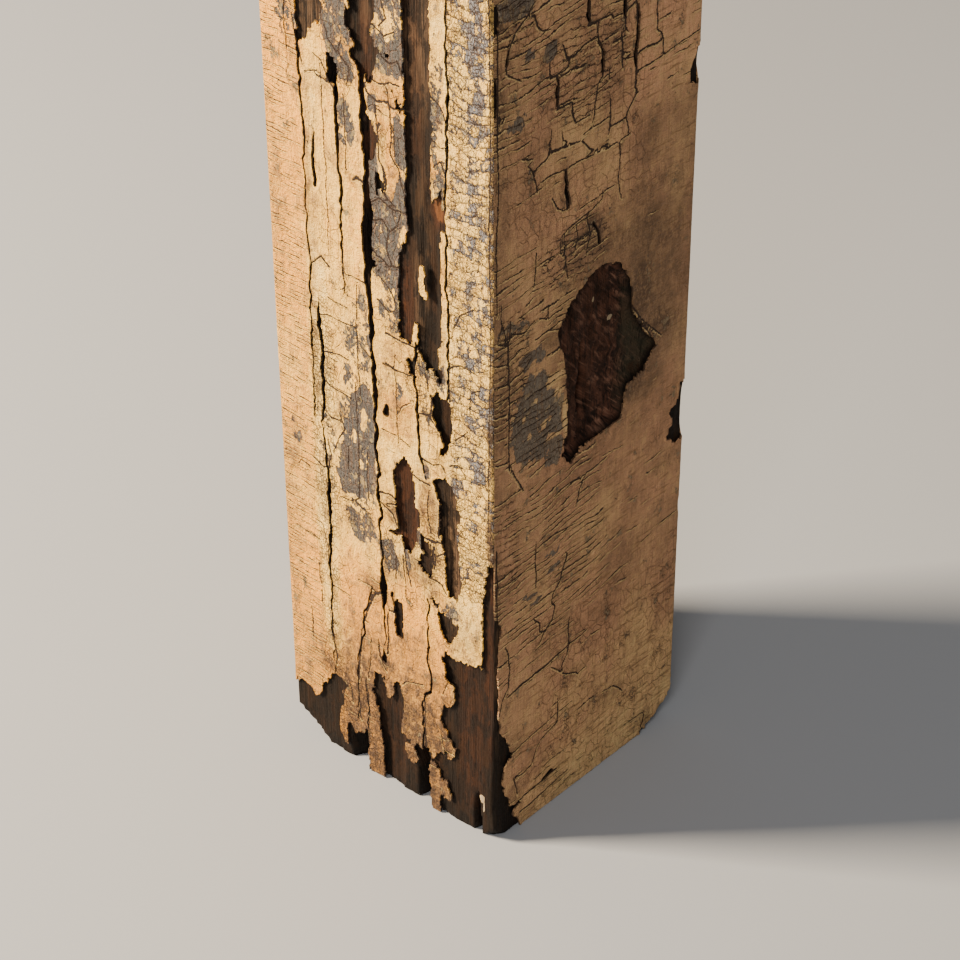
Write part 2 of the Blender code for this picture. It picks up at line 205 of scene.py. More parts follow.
# Finer cracks that only mark the paint's surface
FRONT_HAIRS = (
    ((92, 384, 0.5), (96, 387.5, 0.6), (104, 388.5, 0.4)),
    ((97, 388, 0.4), (100, 396, 0.4), (106, 399, 0.3)), ((112, 388, 0.3), (104, 391, 0.3)),
    ((91.5, 300, 0.3), (91.5, 296, 0.3), (91, 286, 0.4), (94, 284, 0.3)),
    ((91, 293.5, 0.3), (80, 293, 0.4), (78, 293.5, 0.3)), ((88, 345, 0.3), (88, 385, 0.4)),
    ((101, 293, 0.8), (106, 297, 0.5), (112, 291, 0.4)), ((103, 276, 0.4), (91, 275, 0.4)),
    ((110, 264, 0.3), (103, 266.5, 0.4), (92, 266, 0.4), (85, 267, 0.3)),
    ((82, 258, 0.4), (76, 254, 0.3)), ((108, 245, 0.5), (97, 247.5, 0.5), (91, 247, 0.4)),
    ((109, 230, 0.9), (104, 227.5, 0.6), (90, 226, 0.5)),
    ((66, 256, 0.5), (60, 255, 0.5), (50, 255.5, 0.4)),
    ((66, 272, 0.7), (56, 271.5, 0.9), (46, 272, 0.7)), ((60, 230, 0.4), (57, 236, 0.3), (52, 240, 0.3)),
    ((70, 218, 0.3), (60, 218, 0.4), (52, 216, 0.3)), ((74, 181, 0.6), (66, 182, 0.6), (60, 180, 0.7)),
    ((62, 178, 0.8), (68, 176, 0.5)),
    ((87, 236, 0.3), (86, 200, 0.4), (87, 170, 0.5), (92, 166, 0.4), (100, 165, 0.3)),
    ((80, 172, 0.3), (81, 186, 0.3), (80, 200, 0.3)), ((93, 198, 0.3), (94, 184, 0.4)),
    ((40, 200, 0.8), (46, 199.5, 0.7), (52, 201, 0.6)), ((34, 199, 0.6), (34, 186, 0.6), (35, 172, 0.7)),
    ((41, 196, 0.4), (42, 184, 0.5), (40, 172, 0.5)), ((46, 168, 0.8), (38, 168, 0.9), (33, 170, 0.7)),
    ((44, 213, 0.6), (38, 212, 0.4), (33, 215, 0.4), (30, 211, 0.3)), ((39, 238, 0.9), (37, 250, 0.8)),
    ((45, 238, 0.6), (40, 238.5, 0.8), (34, 233, 0.5)), ((28, 216, 0.4), (22, 219, 0.4), (17, 214, 0.3)),
    ((24, 232, 0.5), (16, 240, 0.3)), ((27, 252, 0.6), (27, 270, 0.6), (20, 274, 0.4), (10, 273, 0.3)),
    ((32, 264, 0.9), (37, 264, 0.6), (38, 270, 0.5), (46, 279, 0.5)), ((42, 262, 0.5), (40, 252, 0.5)),
    ((38, 165, 0.6), (39, 156, 0.9), (46, 157, 0.9)), ((31, 165, 0.5), (37, 160, 0.4), (38, 152, 0.5)),
    ((41, 146, 0.5), (33, 145, 0.5), (31, 141, 0.6)), ((57, 155, 0.6), (57, 146, 0.6), (54, 134, 0.5)),
    ((57, 125, 0.3), (59, 150, 0.4)), ((50, 152, 0.5), (44, 152, 0.7)), ((64, 132, 0.3), (63, 148, 0.4)),
    ((71, 122, 1.4), (77, 118, 0.7), (80, 115, 1.2), (84, 103, 0.5), (88, 90, 0.5), (90, 74, 0.6),
     (92, 52, 0.6)),
    ((76, 118, 0.6), (82, 121, 0.4), (90, 120, 0.3)), ((64, 118, 0.5), (60, 121, 0.3)),
    ((70, 112, 0.5), (66, 112, 0.6), (64, 119, 0.4)), ((70, 110, 0.6), (70, 92, 0.4), (71, 84, 0.8)),
    ((77, 90, 0.3), (77, 84, 0.8), (76, 78, 0.5), (72, 72, 0.4)),
    ((82, 88, 0.3), (83, 76, 0.3), (85, 60, 0.3)), ((46, 72, 0.5), (46, 60, 0.5), (45.5, 38, 0.7)),
    ((61, 70, 0.5), (58, 73, 0.3), (47, 77, 0.4)), ((44, 72, 0.4), (42, 76, 0.5)),
    ((36, 52, 0.3), (33, 40, 0.4)), ((34, 78, 0.3), (30, 88, 0.3)), ((92, 50, 0.5), (91, 30, 0.5)),
    ((86, 56, 0.4), (85, 36, 0.5)), ((98, 50, 0.6), (97, 38, 0.4)),
    ((103, 85, 0.2), (108, 84, 0.3), (108, 76, 0.4), (106, 62, 0.4)), ((96, 107, 0.3), (109, 108, 0.3)),
    ((107, 58, 0.5), (107, 70, 0.4), (110, 72, 0.3), (108, 82, 0.5), (109, 86, 0.3)),
    ((115, 132, 0.3), (122, 133, 0.4), (132, 133.5, 0.3)),
    ((113, 118, 0.3), (117, 117, 0.3), (116, 104, 0.3)), ((116, 100, 0.4), (116, 92, 0.3)),
    ((124, 86, 0.3), (123, 80, 0.4), (124, 66, 0.3)), ((108, 110, 0.3), (110, 130, 0.4), (113, 142, 0.3)),
    ((120, 173, 0.3), (126, 175, 0.3), (129, 171, 0.2)),
    ((109, 172, 0.5), (107.5, 162, 0.6), (108, 150, 0.5)),
    ((92, 168, 0.4), (86, 166, 0.4), (80, 164, 0.4)), ((73, 176, 0.5), (66, 172, 0.6), (62, 166, 0.8)),
    ((12, 306, 0.4), (20, 300, 0.4), (24, 292, 0.4)), ((15, 250, 0.3), (14, 262, 0.4), (8, 266, 0.3)),
    ((53, 304, 0.3), (55, 322, 0.4)), ((75, 345, 0.8), (82, 346, 1.1), (84, 344, 0.4)),
    ((57, 366, 0.3), (58, 380, 0.3)), ((61, 396, 0.4), (60, 386, 0.3)), ((66, 378, 0.9), (68, 376, 0.9)),
    ((64, 384, 0.3), (68, 385, 0.4)), ((47, 300, 0.4), (48, 316, 0.5), (43, 322, 0.4)),
    ((118, 414, 0.3), (116, 402, 0.6), (113, 392, 0.5)),
    ((3, 460, 0.5), (2, 400, 0.4), (3, 350, 0.5), (2, 300, 0.4), (3, 250, 0.4), (4, 190, 0.4)),
    ((101, 300, 0.2), (101, 350, 0.3), (102, 395, 0.2)),
    ((60, 214, 0.3), (60.5, 240, 0.4), (61, 262, 0.3)), ((84, 230, 0.3), (85, 262, 0.4), (84, 290, 0.3)),
    ((65.5, 358, 0.9), (63, 350, 0.7), (64, 344, 0.4)),
    ((75, 394, 0.5), (72, 398, 0.5), (66, 397, 0.4), (60, 399.5, 0.5), (54, 400, 0.5)),
    ((75, 394, 0.4), (73, 390, 0.5), (68, 388, 0.6), (62, 390, 0.6), (57, 388, 0.5), (53, 392, 0.4)),
    ((69, 385, 0.6), (67, 373, 0.5), (67, 362, 0.5), (64, 351, 0.6), (66, 346, 0.5), (62, 342, 0.5),
     (58, 340, 0.4)),
    ((60, 388, 0.4), (59, 376, 0.5), (60, 366, 0.5), (55, 359, 0.4), (54, 352, 0.4), (51, 346, 0.5),
     (52, 341, 0.4)),
    ((66, 412, 0.5), (60, 408, 0.5), (54, 412, 0.4), (52, 405, 0.4)),
    ((70, 425, 0.4), (63, 420, 0.5), (57, 424, 0.4)), ((64, 437, 0.4), (61, 429, 0.5), (66, 424, 0.4)),
    ((74, 336, 0.5), (68, 341, 0.5), (60, 338, 0.5), (50, 339, 0.4)),
    ((73, 328, 0.5), (66, 331, 0.5), (62, 326, 0.4), (57, 331, 0.4), (55, 338, 0.4)),
    ((50, 318, 0.5), (55, 311, 0.5), (63, 308, 0.5), (70, 311, 0.4), (75, 317, 0.5)),
    ((63, 325, 0.4), (64, 316, 0.5), (61, 309, 0.4)),
    ((88, 412, 0.5), (90, 405, 0.5), (84, 398, 0.4), (86, 390, 0.4)),
    ((98, 415, 0.4), (96, 408, 0.5), (91, 404, 0.5)), ((36, 402, 0.4), (30, 398, 0.4), (27, 392, 0.4)),
    ((36, 381, 0.4), (31, 378, 0.3), (27, 380, 0.3)), ((35, 368, 0.4), (31, 372, 0.5), (28, 366, 0.4)),
    ((68, 300, 0.4), (62, 296, 0.4), (59, 290, 0.4)), ((71, 288, 0.4), (64, 284, 0.4), (58, 286, 0.3)),
    ((98, 214, 0.4), (95, 206, 0.5), (99, 200, 0.4), (103, 190, 0.4)),
    ((112, 214, 0.4), (104, 209, 0.5), (98, 210, 0.4)),
    ((118, 180, 0.4), (110, 178, 0.5), (104, 181, 0.4)),
    ((107, 196, 0.4), (105, 188, 0.5), (107, 178, 0.4)),
)

# Where the paint is gone from the right face
RIGHT_LOST = (
    SCAR,
    ((-9, -9), (-9, 141), (3, 139), (6, 133), (3, 128), (1.6, 110), (3, 100), (4, 90), (3, 80), (5, 75),
     (4, 70), (8, 65), (11, 57), (13, 52), (8, 48), (6, 40), (7, 30), (10, 25), (11, 18), (18, 18),
     (12, 15), (13, 10), (18, 8), (18, 3), (25, -9)),
    ((113, -9), (114, 5), (117, 3), (124, 6), (130, 5), (133, 8), (135, 15), (139, 18), (149, 20),
     (149, -9)),
    ((134, 209), (149, 209), (149, 176), (138, 176), (133, 174), (126, 180), (129, 188), (127, 196),
     (134, 200)),
    ((131, 370), (149, 369), (149, 387), (137, 387), (133, 380)),
    ((-9, 401), (1.2, 402), (2.0, 412), (1.0, 421), (-9, 421)),
    ((-9, 438), (2.0, 440), (3.0, 447), (2.0, 454), (-9, 456)),
)
RIGHT_SCRAPS = (((45, 221), (48, 219), (50, 222), (50.5, 236), (49, 243), (47, 243), (46, 232)),)
RIGHT_CRACKS = (
    ((26, 447, 0.4), (20, 441, 0.7), (13, 437, 0.6), (10, 432, 0.7), (7, 425, 0.7), (8, 420, 0.6),
     (17, 414, 0.3)),
    ((20, 441, 0.5), (25, 441, 0.5), (27, 435, 0.5), (30, 432, 0.4), (35, 431, 0.3)),
    ((35, 416, 0.5), (36, 408, 0.7), (40, 408, 0.7), (41, 403, 0.8), (40, 392, 0.8), (50, 392, 0.5),
     (51, 385, 0.8), (53, 380.5, 0.6), (62, 381, 0.4)),
    ((44, 420, 0.5), (46, 414, 0.8), (50, 413, 0.8), (57, 416, 0.6), (66, 416.5, 0.3)),
    ((48, 413, 0.5), (47, 409, 0.5), (40, 408, 0.5)),
    ((60, 445, 0.9), (60, 424, 1.0), (75, 424, 0.5), (76, 422, 0.5), (84, 422, 0.6), (92, 424, 0.6),
     (93, 410, 1.0), (92, 400, 0.9), (93, 390, 0.8), (93, 382, 0.7), (95, 380, 0.6), (90, 376, 0.6),
     (87, 371, 0.6), (86, 370, 0.5), (76, 370, 0.5)),
    ((66, 424, 0.6), (66, 415, 0.8), (69, 410, 0.9), (70, 405, 0.8), (70, 397, 0.6), (67, 394, 0.5),
     (65, 380, 0.6), (64, 376, 0.4)),
    ((84, 440, 1.0), (84, 420, 1.1), (85, 414, 0.7), (87, 411, 0.4)),
    ((82, 413, 0.7), (83, 407, 0.8), (83, 400, 0.6), (84, 395, 0.3)), ((83, 403, 0.5), (88, 401.5, 0.4)),
    ((85, 399, 0.4), (92, 398.5, 0.5), (100, 400, 0.7), (106, 398.5, 0.7), (111, 400, 0.5),
     (112, 391, 0.4)),
    ((106, 425, 0.4), (107, 405, 0.5), (110, 403, 0.5), (111, 400, 0.5)),
    ((93, 390.5, 0.5), (112, 391, 0.4), (122, 393, 0.3), (139, 395, 0.3)),
    ((75, 400, 0.4), (75, 393, 0.4)), ((76, 384, 0.5), (76, 370, 0.6), (75, 366, 0.3)),
    ((58, 373, 0.4), (75, 375.5, 0.4)),
    ((44, 380, 0.4), (45, 375, 0.5), (50, 372, 0.5), (58, 370, 0.5), (62, 365, 0.5), (66, 362, 0.8),
     (75, 362, 0.7)),
    ((35, 378, 0.5), (37, 373, 0.7), (45, 372, 0.6), (50, 371, 0.6), (58, 370.5, 0.5)),
    ((18, 377, 0.4), (25, 374, 0.4)), ((22, 372, 0.4), (25, 368, 0.6), (27, 362, 0.5), (28, 357, 0.4)),
    ((25, 368, 0.4), (34, 371, 0.5), (36, 376, 0.5), (37, 384, 0.3)),
    ((30, 361, 0.3), (40, 362, 0.5), (42, 361, 0.4), (60, 361, 0.4), (75, 360, 0.5), (82, 360, 0.4),
     (90, 361, 0.5), (87, 371, 0.4)),
    ((83, 360, 0.5), (84, 349, 0.5), (83, 342, 0.4), (84, 335, 0.4), (86, 330, 0.3)),
    ((38, 350, 0.4), (41, 344, 0.4), (45, 341, 0.3)), ((46.5, 361, 0.6), (47, 350, 1.4), (48, 341, 1.0)),
    ((72, 340, 0.3), (72, 336, 0.4), (65, 333, 0.4), (55, 332, 0.5), (45, 329.5, 0.4)),
    ((66, 326, 0.8), (69, 320, 0.6), (70, 315, 1.0)), ((28, 327, 0.4), (27, 318, 0.5), (26, 310, 0.3)),
    ((32, 319, 0.4), (35, 318, 0.4), (36, 314, 0.3)),
    ((44, 326, 0.3), (44, 320, 0.4), (48, 316, 0.4), (46, 310, 0.3)), ((36, 297, 0.5), (36, 290, 0.4)),
    ((11, 300, 0.4), (9, 286, 0.6), (10, 268, 0.5), (10, 252, 0.6), (10, 240, 0.5)),
    ((30, 170, 0.3), (29, 160, 0.4), (30, 150, 0.5), (29, 143, 0.3)),
    ((10, 240, 0.3), (10, 222, 0.5), (14, 216, 0.5), (20, 205, 0.3)),
    ((60, 192, 0.4), (63, 188, 0.5), (60, 183, 0.5), (58, 176, 0.3)),
    ((51, 153, 0.3), (53, 150, 0.5), (50, 146, 0.6), (47, 138, 0.6), (42, 133, 0.6), (41, 128, 0.5),
     (44, 125, 0.5), (42, 117, 0.5), (37, 113, 0.5), (33, 115, 0.5), (33, 120, 0.5), (28, 126, 0.3)),
    ((35, 112, 0.5), (32, 107, 0.4)),
    ((8, 120, 0.4), (10, 115, 0.5), (11, 105, 0.5), (10, 95, 0.5), (5, 89, 0.4), (3, 80, 0.3)),
    ((10, 89, 0.7), (25, 91, 0.9), (40, 92, 0.8), (55, 94.5, 0.6), (68, 96, 0.3)),
    ((55, 112, 0.4), (54, 105, 0.6), (55, 98, 0.5), (54, 90, 0.5), (50, 85, 0.5), (50, 80, 0.5),
     (53, 77, 0.5), (60, 74, 0.4), (62, 72, 0.4), (68, 73, 0.3)),
    ((42, 88, 0.3), (50, 80, 0.5)),
    ((12, 52, 0.6), (25, 53, 0.4), (35, 54.5, 0.4), (47, 56.5, 0.3), (58, 57, 0.2)),
    ((47, 66, 0.3), (47, 50, 0.5), (40, 48, 0.3), (34, 46, 0.3), (30, 40, 0.4), (28, 35, 0.4),
     (20, 33, 0.4), (14, 35, 0.4), (16, 28, 0.4), (17, 22, 0.3)),
    ((12, 17, 1.0), (22, 18, 0.6), (33, 19, 0.6), (40, 21, 1.6), (47, 20, 0.4)),
    ((18, 9, 0.6), (30, 10, 0.5), (45, 12, 0.4), (56, 13, 0.3)),
    ((82, 48, 0.3), (90, 47, 0.4), (95, 43, 0.4), (98, 39, 0.3)),
    ((100, 14.5, 0.3), (116, 14, 0.5), (117, 10, 0.4), (114, 5, 0.4)),
    ((94, 272, 0.5), (103, 259, 0.6), (112, 250, 0.5), (119, 243, 0.3)),
    ((98, 262, 0.6), (107, 252, 0.5), (114, 241, 0.4)),
    ((2, 292, 0.5), (8, 289, 0.5), (12, 293, 0.4), (20, 290, 0.5), (27, 293, 0.3)),
    ((6, 300, 0.3), (8, 289, 0.5)), ((0, 281, 0.5), (9, 279, 0.4), (17, 282, 0.4)),
    ((1, 270, 0.4), (10, 268, 0.5), (18, 270, 0.4), (26, 275, 0.3)),
    ((0, 254, 0.5), (10, 252, 0.5), (15, 248, 0.4)), ((1, 262, 0.3), (10, 261, 0.4)),
    ((2, 241, 0.4), (10, 240, 0.4)), ((1, 228, 0.4), (10, 226, 0.4), (14, 216, 0.3)),
    ((5, 311, 0.3), (5, 300, 0.4), (2, 292, 0.3)), ((30, 293, 0.4), (36, 290, 0.4), (46, 291, 0.5)),
    ((28, 283, 0.4), (36, 284, 0.4), (44, 281, 0.3)),
    ((2, 446, 0.5), (2, 400, 0.7), (3, 372, 0.4), (1.5, 340, 0.5), (2, 306, 0.3)),
    ((3, 403, 0.6), (5, 399, 0.7), (7, 402, 0.3)), ((1.5, 180, 0.6), (2, 160, 0.7), (1.5, 140, 0.5)),
    ((1, 158, 0.5), (12, 157, 0.4), (28, 159, 0.3)), ((28, 166, 0.3), (44, 168, 0.4), (58, 166, 0.3)),
    ((42, 190, 0.4), (52, 192, 0.5), (66, 191, 0.5), (80, 193, 0.3)),
    ((46, 330, 0.3), (47, 318, 0.5), (49, 305, 0.4)), ((54, 330, 0.3), (56, 322, 0.4), (53, 316, 0.3)),
    ((44, 322, 0.3), (52, 323, 0.4), (60, 321, 0.5), (66, 323, 0.3)),
    ((62, 330, 0.5), (64, 322, 0.5), (62, 312, 0.3)),
)

# The widest of them, open down to the timber
RIGHT_GAPS = (
    ((60, 470, 1.1), (60, 426, 0.9)), ((84, 470, 1.1), (84, 420, 1.0)),
    ((93, 422, 0.8), (93, 404, 1.0), (92, 392, 0.7)), ((68, 414, 0.5), (69.5, 404, 0.9), (70, 398, 0.5)),
    ((40.5, 406, 0.8), (40, 394, 0.9)), ((46.5, 361, 0.6), (47, 350, 1.5), (48, 341, 1.0)),
    ((66, 326, 0.8), (69, 320, 0.7), (70, 314, 1.0)), ((9.5, 435, 0.6), (7.4, 424, 0.8)),
    ((36, 20, 1.4), (42, 21, 1.6)), ((52, 600, 0.3), (52, 760, 1.2), (52, 890, 0.4)),
    ((100, 560, 0.3), (102, 720, 0.9), (101, 860, 0.4)), ((24, 500, 0.3), (22, 640, 0.8), (24, 820, 0.3)),
)

# The hidden faces: plainer, with a bare foot and a few cracks and patches
BACK_LOST = (
    ((-9, -9), (-9, 24), (12, 26), (26, 18), (44, 34), (58, 30), (74, 12), (96, 16), (112, 38), (128, 46),
     (149, 44), (149, -9)),
    ((48, 300), (45, 340), (50, 378), (56, 372), (58, 330), (55, 302)),
    ((82, 640), (80, 690), (86, 720), (91, 690), (90, 650)),
    ((133, 174), (149, 172), (149, 560), (143, 556), (140, 480), (144, 400), (138, 330), (142, 250)),
)
BACK_CRACKS = (
    ((50, 170, 0.3), (52, 260, 1.2), (51, 420, 1.7), (52, 560, 1.2), (53, 650, 0.3)),
    ((87, 490, 0.3), (85, 620, 1.1), (86, 780, 1.1), (87, 890, 0.3)),
    ((22, 120, 0.3), (24, 330, 0.6), (21, 520, 0.5), (22, 700, 0.3)),
    ((112, 60, 0.3), (110, 240, 0.6), (113, 420, 0.3)), ((30, 620, 0.3), (31, 800, 0.6), (29, 960, 0.4)),
)
LEFT_LOST = (
    ((-9, -9), (-9, 33), (14, 30), (24, 44), (40, 40), (52, 22), (70, 26), (84, 52), (97, 48), (108, 24),
     (128, 30), (149, 44), (149, -9)),
    ((58, 210), (55, 262), (60, 300), (68, 288), (70, 232), (66, 208)),
    ((96, 540), (93, 600), (99, 640), (105, 610), (104, 556)),
)
LEFT_CRACKS = (
    ((62, 80, 0.3), (64, 180, 1.1), (63, 330, 1.6), (65, 480, 0.3)),
    ((91, 410, 0.3), (92, 560, 1.2), (90, 700, 1.2), (91, 830, 0.3)),
    ((28, 60, 0.3), (26, 260, 0.6), (29, 480, 0.5), (27, 640, 0.3)),
    ((118, 120, 0.3), (120, 380, 0.6), (117, 600, 0.3)), ((40, 660, 0.3), (42, 820, 0.6), (40, 990, 0.4)),
)

# Grey primer bared by lost topcoat: across, height, half width, half height and share of it bared
PRIMER = {
    "front": (
        (86, 200, 18, 44, 0.5), (86, 156, 11, 15, 0.58), (60, 416, 12, 18, 0.68),
        (108, 192, 10, 34, 0.44), (71, 352, 4, 30, 0.75), (72, 385, 4, 7, 0.7), (86, 402, 8, 12, 0.6),
        (60, 440, 13, 20, 0.62), (66, 326, 13, 24, 0.72), (54, 372, 5, 16, 0.85), (62, 312, 12, 20, 0.7),
        (58, 284, 11, 16, 0.56), (84, 262, 12, 40, 0.47), (88, 372, 6, 16, 0.6), (92, 415, 12, 20, 0.62),
        (68, 146, 9, 15, 0.6), (11, 320, 6, 190, 0.45), (20, 330, 9, 190, 0.2), (3, 340, 4, 180, 0.36),
        (10, 420, 7, 50, 0.54), (32, 380, 6, 60, 0.5), (122, 415, 9, 18, 0.5), (42, 250, 8, 30, 0.42),
        (30, 134, 10, 5, 0.55), (128, 192, 5, 9, 0.52), (52, 340, 8, 20, 0.7), (44, 262, 5, 9, 0.6),
        (59, 241, 5, 7, 0.58), (33, 262, 4, 9, 0.62), (67, 284, 5, 7, 0.58), (43, 206, 4, 5, 0.6),
        (56, 148, 3, 10, 0.58), (76, 268, 3, 12, 0.56), (92, 238, 4, 12, 0.56), (62, 196, 3, 6, 0.6),
        (47, 166, 3, 6, 0.6), (60, 560, 14, 90, 0.6), (18, 640, 14, 160, 0.5), (100, 640, 14, 110, 0.52),
        (40, 830, 20, 90, 0.5),
    ),
    "right": (
        (28, 242, 20, 30, 0.6), (24, 276, 12, 5, 0.75), (12, 296, 14, 2.5, 0.6), (42, 221, 6, 12, 0.7),
        (36, 420, 5, 6, 0.75), (12, 449, 13, 7, 0.65), (23, 424, 4, 3, 0.7), (14, 395, 7, 4, 0.62),
        (41, 160, 7, 1.8, 0.72), (42, 149.5, 8, 1.6, 0.72), (24, 142, 7, 1.6, 0.72),
        (30, 136.5, 7, 1.6, 0.7), (28, 620, 14, 60, 0.6), (90, 780, 14, 80, 0.5),
    ),
    "back": ((40, 340, 16, 80, 0.6), (98, 700, 14, 90, 0.6), (24, 820, 12, 70, 0.55)),
    "left": ((76, 250, 14, 80, 0.6), (36, 520, 12, 100, 0.55), (108, 800, 14, 80, 0.55)),
}

# Yellowed paint on the front face: across, height, half width, half height and strength
TAN_PAINT = (
    (60, 228, 12, 16, 1.0), (60, 394, 16, 12, 1.0), (59, 362, 5, 26, 0.9), (66, 378, 4, 6, 0.8),
    (52, 120, 8, 36, 0.9), (36, 66, 8, 30, 1.0), (42, 185, 5, 16, 0.7), (57, 345, 6, 10, 1.1),
    (33, 366, 4, 8, 1.0), (52, 330, 4, 10, 0.8), (92, 110, 14, 30, 0.5), (40, 12, 6, 22, 1.1),
    (98, 24, 9, 18, 1.1), (81, 20, 7, 26, 1.1), (84, 320, 6, 30, 0.4), (56, 20, 6, 12, 1.0),
)

# Brown stains on the front face: across, height, half width, half height and strength
FRONT_STAINS = (
    (41, 184, 8, 16, 0.9), (66, 174, 5, 9, 0.6), (38, 160, 5, 8, 0.7), (50, 144, 9, 9, 0.8),
    (60, 231, 12, 13, 0.45), (44, 260, 8, 9, 0.45), (62, 394, 12, 9, 0.45), (58, 350, 7, 14, 0.5),
    (35, 388, 3, 14, 0.5), (128, 190, 6, 8, 0.5), (40, 140, 5, 8, 0.6), (66, 140, 8, 13, 0.4),
    (96, 214, 4, 8, 0.5), (134, 300, 5, 60, 0.3), (134, 120, 6, 40, 0.4), (18, 122, 14, 16, 0.35),
    (112, 300, 2.5, 90, 0.4), (80, 122, 10, 8, 0.5), (33, 278, 5, 14, 0.4), (134, 172, 6, 14, 0.45),
    (1, 250, 4, 22, 1.2), (1, 182, 4, 16, 1.2), (88, 404, 10, 14, 0.4), (112, 60, 14, 12, 0.3),
    (62, 262, 10, 14, 0.3), (2, 350, 3, 40, 0.7),
)

# Brown stains on the right face: across, height, half width, half height and strength
RIGHT_STAINS = (
    (100, 278, 9, 16, 1.3), (118, 258, 8, 8, 1.2), (122, 250, 3, 5, 1.4), (66, 322, 8, 10, 1.2),
    (18, 262, 6, 12, 0.8), (95, 128, 16, 22, 0.6), (90, 44, 8, 7, 0.5), (38, 168, 14, 5, 0.4),
    (8, 280, 6, 16, 1.0), (58, 76, 6, 5, 0.5), (38, 278, 7, 5, 1.6), (102, 272, 7, 10, 1.6),
    (75, 420, 20, 10, 0.5), (118, 5, 5, 6, 1.0), (12, 22, 8, 8, 0.8), (30, 352, 20, 8, -0.3),
    (104, 222, 14, 8, 0.8),
)

# Broken places in the front's paint: across, height, half width, half height and strength
BROKEN = (
    (40, 164, 14, 26, 1.0), (42, 255, 14, 22, 0.9), (66, 150, 9, 18, 0.9), (92, 165, 16, 14, 0.8),
    (60, 285, 12, 16, 0.6), (34, 225, 9, 18, 0.6), (14, 160, 12, 20, 1.0), (88, 400, 14, 16, 0.7),
    (62, 380, 12, 24, 0.6), (104, 240, 8, 26, 0.7), (50, 130, 10, 14, 0.5), (100, 300, 12, 40, 0.4),
    (30, 60, 8, 30, 0.5), (96, 40, 12, 20, 0.6), (80, 30, 10, 24, 0.6),
)

# Dark smuts on the paint: across, height, half width, half height and strength
SMUTS = {
    "front": (
        (1, 250, 3, 20, 0.9), (2, 184, 3, 16, 0.9), (98, 16, 8, 16, 0.55), (81, 12, 7, 20, 0.6),
        (40, 6, 6, 14, 0.7), (58, 24, 6, 7, 0.6), (34, 44, 6, 8, 0.4), (78, 121, 8, 7, 0.6),
        (72, 130, 3, 12, 0.6), (33, 262, 5, 9, 0.8), (112, 232, 3, 24, 0.5), (45, 206, 5, 9, 0.6),
        (63, 174, 5, 8, 0.7), (38, 158, 6, 8, 0.8), (52, 149, 8, 5, 0.6), (88, 408, 10, 10, 0.5),
        (66, 372, 4, 10, 0.5), (60, 344, 6, 6, 0.4), (97, 386, 6, 5, 0.6), (71, 314, 5, 8, 0.5),
        (98, 212, 5, 6, 0.7), (105, 238, 3, 8, 0.5), (84, 344, 4, 4, 0.6), (72, 82, 6, 8, 0.5),
        (48, 40, 6, 6, 0.7), (28, 212, 6, 5, 0.5), (30, 132, 8, 5, 0.5), (35, 360, 3, 10, 0.5),
        (118, 404, 5, 14, 0.5), (66, 122, 5, 6, 0.6), (110, 160, 4, 12, 0.4), (60, 276, 8, 4, 0.6),
        (132, 36, 10, 5, 0.5), (110, 54, 8, 5, 0.5),
    ),
    "right": (
        (102, 276, 7, 13, 0.8), (117, 255, 8, 6, 0.8), (122, 249, 3, 4, 1.0), (2, 250, 4, 15, 0.9),
        (8, 264, 5, 14, 0.5), (66, 321, 7, 9, 0.6), (12, 296, 10, 3, 0.5), (98, 226, 7, 8, 0.6),
        (58, 200, 10, 3, 0.5), (40, 212, 6, 5, 0.5), (2, 150, 3, 30, 0.7), (4, 406, 4, 16, 0.7),
        (90, 310, 30, 5, 0.45), (120, 300, 16, 8, 0.4), (94, 44, 8, 5, 0.45), (60, 76, 8, 4, 0.4),
        (16, 56, 10, 4, 0.5), (20, 28, 8, 6, 0.4), (116, 8, 8, 6, 0.6), (8, 446, 9, 8, 0.6),
        (47, 351, 3, 11, 0.6), (92, 128, 12, 10, 0.3), (40, 160, 8, 3, 0.4), (110, 330, 22, 6, 0.3),
    ),
    "back": ((50, 380, 10, 60, 0.5), (87, 700, 8, 60, 0.5), (60, 40, 50, 12, 0.5)),
    "left": ((64, 240, 10, 60, 0.5), (92, 600, 8, 60, 0.5), (60, 46, 50, 14, 0.5)),
}

# Finely crazed places on the right face: across, height, half width, half height and strength
CRAZED = (
    (12, 275, 14, 34, 1.0), (55, 316, 27, 18, 1.0), (14, 440, 15, 16, 0.9), (60, 405, 34, 34, 0.8),
    (45, 140, 26, 16, 0.6), (10, 180, 10, 40, 0.7), (30, 352, 24, 12, 0.5), (110, 400, 16, 14, 0.5),
    (60, 190, 24, 12, 0.5), (44, 108, 22, 16, 0.6),
)

# How much dust lies on each face, standing partly for painted shade: the faces turned from the key light get a
# greyer, cooler copy of the paint
DUST_AND_SHADE_BY_FACE = {"front": 0.0, "right": 1.0, "back": 0.8, "left": 0.3}

# Outlines inside which the primer is bare
PRIMER_OUTLINES = {
    "front": (
        ((98, 170), (103, 180), (99, 190), (97, 200), (99, 208), (92, 216), (89, 230), (81, 240),
         (76, 234), (75, 215), (74, 200), (75, 182), (80, 172), (88, 169)),
    ),
    "right": (
        ((13, 228), (17, 250), (20, 262), (24, 268), (30, 263), (40, 258), (46, 254), (47, 240),
         (46, 210), (35, 210), (33, 216), (22, 218), (14, 222)),
    ),
    "back": (),
    "left": (),
}

